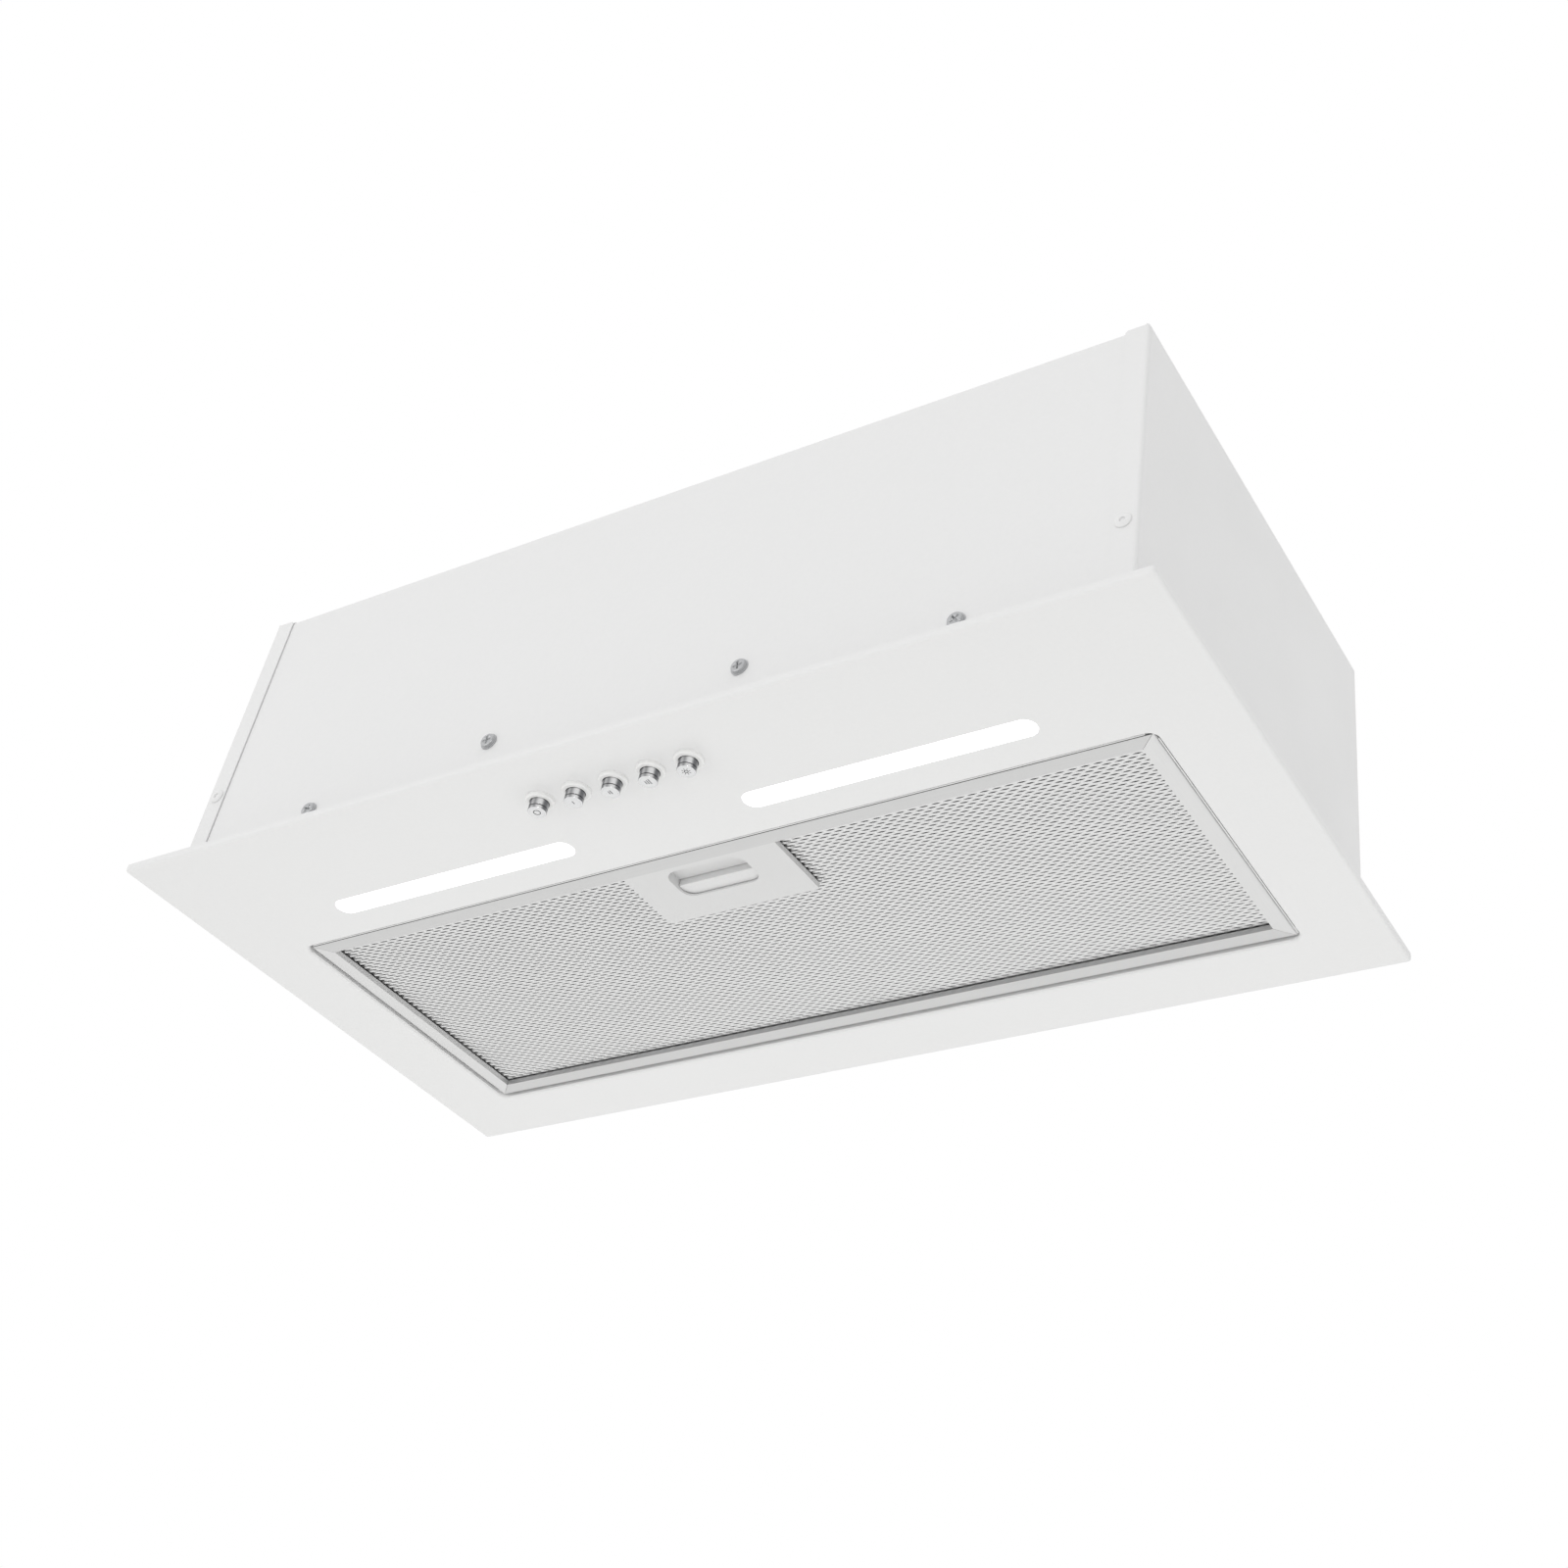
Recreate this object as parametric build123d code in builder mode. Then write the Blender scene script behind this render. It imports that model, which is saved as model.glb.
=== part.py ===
"""Under cabinet range hood, 600 mm wide, in millimetres.

+Z is up, the front faces -Y and the origin lies on the top panel, at the centre of the four
holes that fix the hood to the cabinet. Heights named z_ are measured from the underside of the
bottom plate, which lies at base.
"""

import os
from math import cos, radians, sin, sqrt

from build123d import *

os.makedirs("parts", exist_ok=True)

# ---- driving dimensions: casing ----
height = 185.0  # top panel's upper face above the plate's underside
body_width = 563.0
body_depth = 273.0
sheet = 0.8
bend = 2.0  # outer radius of a folded edge
panel_gap = 0.2  # between the front panel's ends and the folds it stands beside
wrap = 12.8  # width of the side panels' folded flanges
corner_notch = 2.6  # relief where two folds meet
plate_width = 600.0
plate_depth = 310.0
lip = 4.2  # height of the plate's upturned edge
lip_bend = 1.8
plate_corner = 2.2
top_margin = 4.0  # top panel's edge inside the body's edge

# ---- driving dimensions: filter and its opening ----
opening_width = 513.0
opening_depth = 177.0
opening_y = 28.5
opening_corner = 5.0
opening_flange = 7.5
filter_gap = 1.5
frame_face = 1.8  # z_ of the filter's lower face
frame_height = 9.5
frame_border = 9.6
frame_return = 8.0
frame_wall = 1.0
frame_lip = 3.0
frame_edge = 1.2
mitre_gap = 0.12
mesh_clearance = 0.2
mesh_layers = 3
mesh_layer_thick = 0.6
pivot_radius = 2.0
pivot_inset = 4.0  # hinge line in front of the filter's rear face
pivot_z = 4.6
running = 0.05  # radial clearance of a pin or shaft
free_gap = 0.3  # between faces of two bodies

# ---- driving dimensions: latch ----
latch_width = 93.0
latch_depth = 43.0
latch_skin = 1.2
recess_width = 47.2
recess_depth = 22.5
recess_corner = 7.0
recess_margin = 3.1  # from the latch plate's front edge to the recess
pocket_depth = 13.5  # deep part of the recess, front to back
pocket_z = 7.4
pocket_skin = 0.8
latch_face_z = 3.5
tongue_gap = 0.4
slider_length = 15.0
arm_width = 30.0
arm_thick = 1.5
latch_travel = 4.0
latch_spring_radius = 2.0
wire = 0.5

# ---- driving dimensions: controls ----
button_count = 5
button_pitch = 22.2
button_x = 1.8  # middle of the row
button_y = -123.0
button_radius = 4.7
button_reach = 7.8  # below the plate
button_travel = 3.0
collar_radius = button_radius + 2.6
collar_height = 2.0
collar_wall = 1.0
switch_floor = 1.8
switch_height = 17.2
switch_depth = 18.6
switch_margin = 17.6
board_thick = 1.6
contact_height = 5.0
button_shoulder_z = 9.0
button_edge = 0.5
button_cap = 1.9
button_groove = 0.4
button_stop_thick = 1.5
stem_radius = 2.2
spring_gap = 0.5
spring_turns = 5

# ---- driving dimensions: lamps ----
lamp_x = 131.0
lamp_y = -84.4
lamp_length = 158.2
lamp_width = 12.3
lamp_gap = 0.2
lamp_rim = 3.9
lamp_rim_thick = 1.2
tray_wall = 1.5
tray_height = 14.0
tray_margin = 6.9
lamp_board_length = 150.0
lamp_board_width = 10.0
lamp_board_thick = 1.2
led_count = 12
led_side = 2.8
led_thick = 0.7

# ---- driving dimensions: outlet and flaps ----
duct_y = 20.0
duct_radius = 74.5  # outside, for a 150 mm duct
duct_wall = 2.0
duct_height = 40.0
duct_flange = duct_radius + 17.5
duct_flange_thick = 2.0
duct_screw_radius = duct_radius + 9.5
flap_axis_x = 5.0
flap_axis_z = 8.0
flap_thick = 1.6
flap_pin_radius = 1.25
flap_barrel_radius = 2.6
flap_edge_gap = 0.8
stop_width = 3.0
stop_thick = 1.9
rib_half = 1.8

# ---- driving dimensions: blower ----
scroll_start = 71.0  # radius of the scroll's first quarter turn
scroll_step = 10.0  # growth of the radius at each quarter turn
blower_half = 57.0
blower_wall = 2.0
blower_bottom_z = 25.0
neck_depth = 96.0
blower_flange_half = duct_screw_radius + 4.0
blower_flange_thick = 3.0
inlet_radius = 46.0
inlet_rim = 8.0
inlet_reach = 6.0
impeller_radius = 60.0
impeller_half = 47.0
blade_count = 36
blade_depth = 11.0
blade_thick = 1.2
hub_radius = 13.0
hub_half = 14.0

# ---- driving dimensions: motor ----
shaft_radius = 4.0
motor_radius = 40.0
motor_near = 72.0  # casing's near face, to the left of the blower's middle
motor_length = 64.0
motor_wall = 2.0
motor_end = 3.0
stack_length = 34.0
rotor_radius = 21.5
air_gap = 0.5
bearing_radius = 11.0
bearing_width = 7.0
bracket_post_radius = 5.0
bracket_circle = 62.0
bracket_thick = 3.0
bracket_arm = 14.0
bush_radius = 7.0
bush_length = 4.0

# ---- driving dimensions: fixings and electrics ----
fixing_x = 480.0
fixing_y = 210.0
fixing_radius = 3.5
screw_head = 4.7
screw_head_height = 2.6
screw_head_fillet = 1.56
cross_length = 5.2  # of the cross in a screw's head
cross_width = 1.13
screw_radius = 2.0
screw_length = 8.0
inner_screw = (76.0, 36.6)
outer_screw = (194.0, 25.4)
rivet_x = 274.0
rivet_z = 56.0
rivet_radius = 4.2
rivet_height = 1.26
rivet_hole = 1.47
rivet_hole_floor = 0.42  # above the flange
brace_width = 430.0
brace_low_z = 8.0
brace_high_z = 48.0
brace_thick = 1.2
brace_return = 10.0
gland_x = 157.0
gland_y = 80.0
gland_neck = 8.0
gland_bore = 4.2
gland_height = 14.0
gland_rim = 3.0
gland_nut = 4.0
terminal_length = 70.0
terminal_width = 54.0
terminal_height = 30.0
terminal_wall = 2.0
capacitor_x = 150.0
capacitor_y = 70.0
capacitor_length = 46.0
capacitor_width = 18.0
capacitor_height = 34.0
capacitor_ear = 12.0
driver_x = 135.0
driver_y = -115.0
driver_length = 100.0
driver_width = 30.0
driver_height = 20.0

# ---- places worked out from them ----
base = -height
body_top = -sheet  # upper face of the side panels' top flanges
plate_top = base + sheet
half_width = body_width / 2
half_depth = body_depth / 2
panel_front = -half_depth + sheet  # the front panel lies behind the flanges
panel_back = panel_front + sheet
opening_front = opening_y - opening_depth / 2
opening_back = opening_y + opening_depth / 2
filter_width = opening_width - 2 * filter_gap
filter_depth = opening_depth - 2 * filter_gap
filter_front = opening_y - filter_depth / 2
filter_back = opening_y + filter_depth / 2
frame_low = base + frame_face
frame_high = frame_low + frame_height
mesh_low = frame_low + frame_lip
mesh_high = frame_high - frame_wall
pivot_y = filter_back - pivot_inset
collar_bore = button_radius + free_gap
collar_neck = collar_bore + collar_wall
collar_top = plate_top + switch_floor
latch_front = filter_front + frame_border
latch_back = latch_front + latch_depth
duct_bore = duct_radius - duct_wall
neck_front = duct_y - neck_depth / 2
neck_back = duct_y + neck_depth / 2
scroll_end = scroll_start + 2 * scroll_step
scroll_z = base + blower_bottom_z + scroll_end  # centre of the last arc
scroll_y = neck_back - scroll_end
impeller_y = scroll_y - scroll_step / 2
impeller_z = scroll_z - scroll_step / 2
motor_far = motor_near + motor_length
motor_middle = motor_near + motor_length / 2
sides = (("left", -1), ("right", 1))


def save(part, name):
    """Labels a finished piece and writes it."""
    part.label = name
    export_step(part, f"parts/{name}.step")


def button_xs():
    """X of each push button, left to right."""
    first = button_x - button_pitch * (button_count - 1) / 2
    return [first + button_pitch * index for index in range(button_count)]


def bracket_angles():
    """Angles of the motor bracket's arms about the shaft, from +Y towards +Z."""
    return (30, 150, 270)


def around_shaft(radius, angle):
    """Y and Z of a point at a radius and an angle about the shaft."""
    return impeller_y + radius * cos(radians(angle)), impeller_z + radius * sin(radians(angle))


# ================= casing =================

# A tray of folded sheet: an upturned lip all round, and an upturned rim round the filter's opening.
with BuildPart() as bottom_plate:
    with BuildSketch(Plane.XY.offset(base)):
        RectangleRounded(plate_width, plate_depth, plate_corner)
    extrude(amount=lip)
    with BuildSketch(Plane.XY.offset(plate_top)):
        RectangleRounded(plate_width - 2 * sheet, plate_depth - 2 * sheet, plate_corner - sheet)
    extrude(amount=lip, mode=Mode.SUBTRACT)
    with BuildSketch(Plane.XY.offset(plate_top)):
        with Locations((0, opening_y)):
            RectangleRounded(opening_width + 2 * sheet, opening_depth + 2 * sheet, opening_corner + sheet)
    extrude(amount=opening_flange - sheet)
    with BuildSketch(Plane.XY.offset(base)):
        with Locations((0, opening_y)):
            RectangleRounded(opening_width, opening_depth, opening_corner)
    extrude(amount=opening_flange, mode=Mode.SUBTRACT)
    outer_edges = bottom_plate.faces().sort_by(Axis.Z)[0].outer_wire().edges()
    fillet(outer_edges, lip_bend)
    inner_edges = bottom_plate.faces().sort_by(Axis.Z)[0].inner_wires()[0].edges()
    fillet(inner_edges, bend)
    floor_face = bottom_plate.faces().filter_by(Axis.Z).filter_by_position(Axis.Z, plate_top, plate_top)[0]
    fillet(floor_face.outer_wire().edges(), lip_bend - sheet)
    floor_face = bottom_plate.faces().filter_by(Axis.Z).filter_by_position(Axis.Z, plate_top, plate_top)[0]
    fillet(floor_face.inner_wires()[0].edges(), bend - sheet)
    with BuildSketch(Plane.XY.offset(base)):
        with Locations([(x, button_y) for x in button_xs()]):
            Circle(collar_neck)
        with Locations([(sign * lamp_x, lamp_y) for _, sign in sides]):
            SlotOverall(lamp_length, lamp_width)
    extrude(amount=sheet, mode=Mode.SUBTRACT)
    for _, sign in sides:
        with Locations(Location((sign * opening_width / 2, pivot_y, base + pivot_z), (0, 90, 0))):
            Cylinder(pivot_radius + running, 4 * sheet, mode=Mode.SUBTRACT)
save(bottom_plate.part, "bottom_plate")

# Each side panel is a tray laid on its side, with flanges wrapped over the front, back, top and plate.
for side, sign in sides:
    with BuildPart() as side_panel:
        outer_face = Plane.YZ.offset(sign * half_width)
        with BuildSketch(outer_face):
            with Locations((0, (plate_top + body_top) / 2)):
                Rectangle(body_depth, body_top - plate_top)
        extrude(amount=-sign * wrap)
        web_edges = side_panel.faces().sort_by(Axis.X)[-1 if sign > 0 else 0].edges()
        fillet(web_edges, bend)
        with BuildSketch(outer_face.offset(-sign * sheet)):
            with Locations((0, (plate_top + body_top) / 2)):
                Rectangle(body_depth - 2 * sheet, body_top - plate_top - 2 * sheet)
        extrude(amount=-sign * wrap, mode=Mode.SUBTRACT)
        inner_web = side_panel.faces().filter_by(Axis.X).sort_by(Axis.X)[-2 if sign > 0 else 1]
        fillet(inner_web.edges(), bend - sheet)
        for y in (-half_depth, half_depth):
            for z in (plate_top, body_top):
                with Locations((sign * (half_width - bend - wrap / 2), y, z)):
                    Box(wrap, corner_notch, corner_notch / 2, mode=Mode.SUBTRACT)
        inner_corners = [(sign * (half_width - wrap), y, body_top) for y in (-half_depth, half_depth)]
        for corner in inner_corners:
            with Locations(Location(corner, (0, 45, 0))):
                Box(corner_notch, 4 * sheet, corner_notch, mode=Mode.SUBTRACT)
        rivet_plane = Plane.XZ.offset(half_depth)
        with BuildSketch(rivet_plane):
            with Locations((sign * rivet_x, base + rivet_z)):
                Circle(screw_radius)
        extrude(amount=-body_depth, mode=Mode.SUBTRACT)
    save(side_panel.part, f"side_panel_{side}")

panel_half = half_width - bend - panel_gap
panel_screws = [(sign * x, base + z) for x, z in (inner_screw, outer_screw) for _, sign in sides]
rivet_points = [(sign * rivet_x, base + rivet_z) for _, sign in sides]

# The front and back panels are the same folded sheet; only the front one has the brace's screws.
for name, sign, holes in (("front_panel", -1, panel_screws), ("back_panel", 1, [])):
    with BuildPart() as wall_panel:
        panel_face = Plane.XZ.offset(-sign * (half_depth - sheet))
        panel_low = plate_top + sheet
        panel_height = body_top - sheet - panel_low
        with BuildSketch(panel_face):
            with Locations((0, panel_low + panel_height / 2)):
                Rectangle(2 * panel_half, panel_height)
        extrude(amount=sign * wrap)
        fold = wall_panel.edges().filter_by(Axis.X).sort_by(lambda edge: edge.center().Z + sign * edge.center().Y)
        fillet(fold[-1], bend)
        with BuildSketch(panel_face.offset(sign * sheet)):
            with Locations((0, panel_low + (panel_height - sheet) / 2)):
                Rectangle(2 * panel_half, panel_height - sheet)
        extrude(amount=sign * wrap, mode=Mode.SUBTRACT)
        inner_fold = (0, sign * (half_depth - 2 * sheet), body_top - 2 * sheet)
        fillet(wall_panel.edges().filter_by(Axis.X).sort_by_distance(inner_fold)[0], bend - sheet)
        with BuildSketch(panel_face):
            with Locations(holes + rivet_points):
                Circle(screw_radius)
        extrude(amount=sign * sheet, mode=Mode.SUBTRACT)
    save(wall_panel.part, name)

with BuildPart() as top_panel:
    with BuildSketch(Plane.XY.offset(body_top)):
        Rectangle(body_width - 2 * top_margin, body_depth - 2 * top_margin)
        with GridLocations(fixing_x, fixing_y, 2, 2):
            Circle(fixing_radius, mode=Mode.SUBTRACT)
        with Locations((gland_x, gland_y)):
            Circle(gland_neck, mode=Mode.SUBTRACT)
        with Locations((0, duct_y)):
            Circle(duct_bore, mode=Mode.SUBTRACT)
            with PolarLocations(duct_screw_radius, 4, 45):
                Circle(screw_radius, mode=Mode.SUBTRACT)
    extrude(amount=sheet)
save(top_panel.part, "top_panel")

# An angle behind the front panel stiffens it over the controls.
with BuildPart() as front_brace:
    brace_height = brace_high_z - brace_low_z
    brace_face = Plane.XZ.offset(-panel_back)
    with BuildSketch(brace_face):
        with Locations((0, base + brace_low_z + brace_height / 2)):
            Rectangle(brace_width, brace_height)
    extrude(amount=-brace_return)
    with BuildSketch(brace_face.offset(-brace_thick)):
        with Locations((0, base + brace_low_z + (brace_height - brace_thick) / 2)):
            Rectangle(brace_width, brace_height - brace_thick)
    extrude(amount=-brace_return, mode=Mode.SUBTRACT)
    with BuildSketch(brace_face):
        with Locations(panel_screws):
            Circle(screw_radius)
    extrude(amount=-brace_thick, mode=Mode.SUBTRACT)
save(front_brace.part, "front_brace")


# ================= fasteners =================


def cross_head_screws(face, points, length):
    """Pan head screws on a face: heads outside it, shanks of a length behind it."""
    with BuildPart() as screws:
        with BuildSketch(face):
            with Locations(points):
                Circle(screw_head)
        extrude(amount=screw_head_height)
        top = screws.faces().group_by(Axis(face.origin, face.z_dir))[-1]
        fillet(top.edges(), screw_head_fillet)
        with BuildSketch(face):
            with Locations(points):
                Circle(screw_radius)
        extrude(amount=-length)
        with BuildSketch(face.offset(screw_head_height / 3)):
            with Locations(points):
                Rectangle(cross_length, cross_width)
                Rectangle(cross_width, cross_length)
        extrude(amount=screw_head_height, mode=Mode.SUBTRACT)
    return screws.part


save(cross_head_screws(Plane.XZ.offset(-panel_front), panel_screws, screw_length), "front_screws")

collar_screw_points = [
    (duct_screw_radius * cos(radians(angle)), duct_y + duct_screw_radius * sin(radians(angle)))
    for angle in (45, 135, 225, 315)
]
collar_screw_length = duct_flange_thick + sheet + blower_flange_thick
collar_screw_plane = Plane.XY.offset(duct_flange_thick)
collar_screws = cross_head_screws(collar_screw_plane, collar_screw_points, collar_screw_length)
save(collar_screws, "collar_screws")

# Blind rivets hold the flanges to the front and back panels.
with BuildPart() as flange_rivets:
    for sign in (1, -1):
        face = Plane.XZ.offset(sign * half_depth)
        with BuildSketch(face):
            with Locations(rivet_points):
                Circle(rivet_radius)
        extrude(amount=sign * rivet_height, taper=20)
        with BuildSketch(face):
            with Locations(rivet_points):
                Circle(screw_radius)
        extrude(amount=-sign * 4 * sheet)
        with BuildSketch(face.offset(sign * rivet_hole_floor)):
            with Locations(rivet_points):
                Circle(rivet_hole)
        extrude(amount=sign * rivet_radius, mode=Mode.SUBTRACT)
save(flange_rivets.part, "flange_rivets")


# ================= outlet and backdraft flaps =================

flap_low = flap_axis_z - flap_thick / 2
stop_high = flap_low - free_gap
with BuildPart() as outlet_collar:
    with BuildSketch():
        with Locations((0, duct_y)):
            Circle(duct_flange)
            with PolarLocations(duct_screw_radius, 4, 45):
                Circle(screw_radius, mode=Mode.SUBTRACT)
    extrude(amount=duct_flange_thick)
    with BuildSketch():
        with Locations((0, duct_y)):
            Circle(duct_radius)
    extrude(amount=duct_height)
    with BuildSketch():
        with Locations((0, duct_y)):
            Circle(duct_bore)
    extrude(amount=duct_height, mode=Mode.SUBTRACT)
    with BuildSketch(Plane.XY.offset(stop_high - stop_thick)):
        with Locations((0, duct_y)):
            Circle(duct_bore + duct_wall / 2)
            Circle(duct_bore - stop_width, mode=Mode.SUBTRACT)
            Rectangle(2 * rib_half, 2 * duct_bore)
    extrude(amount=stop_thick)
    with Locations([Location((sign * flap_axis_x, duct_y, flap_axis_z), (90, 0, 0)) for _, sign in sides]):
        Cylinder(flap_pin_radius, 2 * duct_radius + 1, mode=Mode.SUBTRACT)
save(outlet_collar.part, "outlet_collar")

with BuildPart() as damper_pins:
    with Locations([Location((sign * flap_axis_x, duct_y, flap_axis_z), (90, 0, 0)) for _, sign in sides]):
        Cylinder(flap_pin_radius, 2 * duct_radius - duct_wall / 2)
save(damper_pins.part, "damper_pins")

barrel_reach = sqrt((duct_bore - stop_width) ** 2 - (flap_axis_x + flap_barrel_radius) ** 2)
for side, sign in sides:
    with BuildPart() as damper_flap:
        flap_radius = duct_bore - flap_edge_gap
        with BuildSketch(Plane.XY.offset(flap_low)):
            with Locations((0, duct_y)):
                Circle(flap_radius)
            with Locations((sign * (flap_axis_x - flap_radius), duct_y)):
                Rectangle(2 * flap_radius, 2 * flap_radius, mode=Mode.SUBTRACT)
        extrude(amount=flap_thick)
        with Locations(Location((sign * flap_axis_x, duct_y, flap_axis_z), (90, 0, 0))):
            Cylinder(flap_barrel_radius, 2 * (barrel_reach - flap_edge_gap))
            Cylinder(flap_pin_radius + running, 2 * duct_radius, mode=Mode.SUBTRACT)
    save(damper_flap.part, f"damper_flap_{side}")


# ================= blower =================


def scroll_outline(inset):
    """The scroll and its neck, drawn in Y and Z, a distance inside the outer walls."""
    first, second, third = (scroll_start + scroll_step * turn - inset for turn in range(3))
    CenterArc((scroll_y - scroll_step, scroll_z - scroll_step), first, 90, 90)
    CenterArc((scroll_y, scroll_z - scroll_step), second, 180, 90)
    CenterArc((scroll_y, scroll_z), third, 270, 90)
    Polyline(
        (neck_back - inset, scroll_z),
        (neck_back - inset, body_top),
        (neck_front + inset, body_top),
        (neck_front + inset, scroll_z - scroll_step + first),
        (scroll_y - scroll_step, scroll_z - scroll_step + first),
    )


inlet_hole = inlet_radius + blower_wall
for side, sign in sides:
    with BuildPart() as blower_shell:
        with BuildSketch(Plane.YZ):
            with BuildLine():
                scroll_outline(0)
            make_face()
        extrude(amount=sign * blower_half)
        with BuildSketch(Plane.XY.offset(body_top)):
            with Locations((sign * blower_flange_half / 2, duct_y)):
                Rectangle(blower_flange_half, 2 * blower_flange_half)
        extrude(amount=-blower_flange_thick)
        with BuildSketch(Plane.YZ):
            with BuildLine():
                scroll_outline(blower_wall)
            make_face()
        extrude(amount=sign * (blower_half - blower_wall), mode=Mode.SUBTRACT)
        with BuildSketch(Plane.YZ.offset(sign * blower_half)):
            with Locations((impeller_y, impeller_z)):
                Circle(inlet_hole)
            if sign < 0:
                with Locations([around_shaft(bracket_circle, angle) for angle in bracket_angles()]):
                    Circle(screw_radius)
        extrude(amount=-sign * blower_wall, mode=Mode.SUBTRACT)
        with BuildSketch(Plane.XY.offset(body_top)):
            with Locations(collar_screw_points):
                Circle(screw_radius)
        extrude(amount=-blower_flange_thick, mode=Mode.SUBTRACT)
    save(blower_shell.part, f"blower_shell_{side}")

    with BuildPart() as inlet_ring:
        ring_plane = Plane.YZ.offset(sign * blower_half)
        with BuildSketch(ring_plane):
            with Locations((impeller_y, impeller_z)):
                Circle(inlet_radius + inlet_rim)
        extrude(amount=sign * blower_wall)
        with BuildSketch(ring_plane):
            with Locations((impeller_y, impeller_z)):
                Circle(inlet_hole)
        extrude(amount=-sign * (blower_wall + inlet_reach))
        with BuildSketch(ring_plane.offset(sign * blower_wall)):
            with Locations((impeller_y, impeller_z)):
                Circle(inlet_radius)
        extrude(amount=-sign * (2 * blower_wall + inlet_reach), mode=Mode.SUBTRACT)
        mouth = inlet_ring.edges().filter_by(GeomType.CIRCLE).filter_by(lambda edge: edge.radius < inlet_hole)
        fillet(mouth.sort_by(Axis.X)[-1 if sign > 0 else 0], 0.7 * blower_wall)
    save(inlet_ring.part, f"inlet_ring_{side}")

with BuildPart() as impeller:
    with BuildSketch(Plane.YZ.offset(-impeller_half)):
        with Locations((impeller_y, impeller_z)):
            with PolarLocations(impeller_radius - blade_depth / 2, blade_count):
                Rectangle(blade_depth, blade_thick, rotation=35)
    extrude(amount=2 * impeller_half)
    for plane_x in (-impeller_half, impeller_half - blade_thick):
        with BuildSketch(Plane.YZ.offset(plane_x)):
            with Locations((impeller_y, impeller_z)):
                Circle(impeller_radius)
                Circle(impeller_radius - blade_depth, mode=Mode.SUBTRACT)
        extrude(amount=blade_thick)
    with BuildSketch(Plane.YZ.offset(-blade_thick / 2)):
        with Locations((impeller_y, impeller_z)):
            Circle(impeller_radius)
    extrude(amount=blade_thick)
    with Locations(Location((0, impeller_y, impeller_z), (0, 90, 0))):
        Cylinder(hub_radius, 2 * hub_half)
        Cylinder(shaft_radius, 2 * hub_half, mode=Mode.SUBTRACT)
save(impeller.part, "impeller")


# ================= motor =================


def shaft_plane(x):
    """Plane square to the shaft at an X, with its origin on the shaft and its normal to the left."""
    return Plane(origin=(x, impeller_y, impeller_z), x_dir=(0, 0, 1), z_dir=(-1, 0, 0))


with BuildPart() as motor_shaft:
    with BuildSketch(shaft_plane(hub_half + shaft_radius)):
        Circle(shaft_radius)
    extrude(amount=hub_half + motor_far + 2 * shaft_radius)
    chamfer(motor_shaft.edges(), shaft_radius / 8)
save(motor_shaft.part, "motor_shaft")

with BuildPart() as motor_rotor:
    with BuildSketch(shaft_plane(-motor_middle + stack_length / 2)):
        Circle(rotor_radius)
        Circle(shaft_radius, mode=Mode.SUBTRACT)
    extrude(amount=stack_length)
save(motor_rotor.part, "motor_rotor")

stator_outer = motor_radius - motor_wall
with BuildPart() as motor_stator:
    with BuildSketch(shaft_plane(-motor_middle + stack_length / 2)):
        Circle(stator_outer)
        Circle(rotor_radius + air_gap, mode=Mode.SUBTRACT)
    extrude(amount=stack_length)
save(motor_stator.part, "motor_stator")

# The two cups meet at the motor's middle and each holds a bearing behind its end wall.
for name, end_x, way in (("inner", -motor_near, 1), ("outer", -motor_far, -1)):
    with BuildPart() as motor_cap:
        with BuildSketch(shaft_plane(end_x)):
            Circle(motor_radius)
        extrude(amount=way * motor_length / 2)
        rim = motor_cap.edges().filter_by(GeomType.CIRCLE).sort_by(Axis.X)[-1 if way > 0 else 0]
        fillet(rim, motor_wall)
        with BuildSketch(shaft_plane(end_x - way * motor_end)):
            Circle(stator_outer)
        extrude(amount=way * motor_length / 2, mode=Mode.SUBTRACT)
        with BuildSketch(shaft_plane(end_x - way * motor_end)):
            Circle(bearing_radius + motor_wall)
        extrude(amount=way * bearing_width)
        with BuildSketch(shaft_plane(end_x - way * motor_end)):
            Circle(bearing_radius)
        extrude(amount=way * bearing_width, mode=Mode.SUBTRACT)
        with BuildSketch(shaft_plane(end_x)):
            Circle(shaft_radius + motor_wall)
        extrude(amount=way * motor_end, mode=Mode.SUBTRACT)
    save(motor_cap.part, f"motor_cap_{name}")

with BuildPart() as motor_bearings:
    for end_x, way in ((-motor_near, 1), (-motor_far, -1)):
        with BuildSketch(shaft_plane(end_x - way * motor_end)):
            Circle(bearing_radius)
            Circle(shaft_radius + running, mode=Mode.SUBTRACT)
        extrude(amount=way * bearing_width)
save(motor_bearings.part, "motor_bearings")

bracket_x = -(motor_near + motor_length / 4)
post_end_x = -(blower_half + bush_length)
bracket_points = [
    (bracket_circle * cos(radians(angle)), bracket_circle * sin(radians(angle)))
    for angle in [90 - given for given in bracket_angles()]
]
with BuildPart() as motor_bracket:
    with BuildSketch(shaft_plane(bracket_x)):
        Circle(motor_radius + bracket_thick)
        for point in bracket_points:
            with BuildLine():
                Line((0, 0), point)
            trace(line_width=bracket_arm)
            with Locations(point):
                Circle(bracket_arm / 2)
        Circle(motor_radius, mode=Mode.SUBTRACT)
    extrude(amount=bracket_thick)
    with BuildSketch(shaft_plane(post_end_x)):
        with Locations(bracket_points):
            Circle(bracket_post_radius)
    extrude(amount=post_end_x - bracket_x)
    with BuildSketch(shaft_plane(post_end_x)):
        with Locations(bracket_points):
            Circle(screw_radius)
    extrude(amount=post_end_x - bracket_x + bracket_thick, mode=Mode.SUBTRACT)
save(motor_bracket.part, "motor_bracket")

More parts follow.
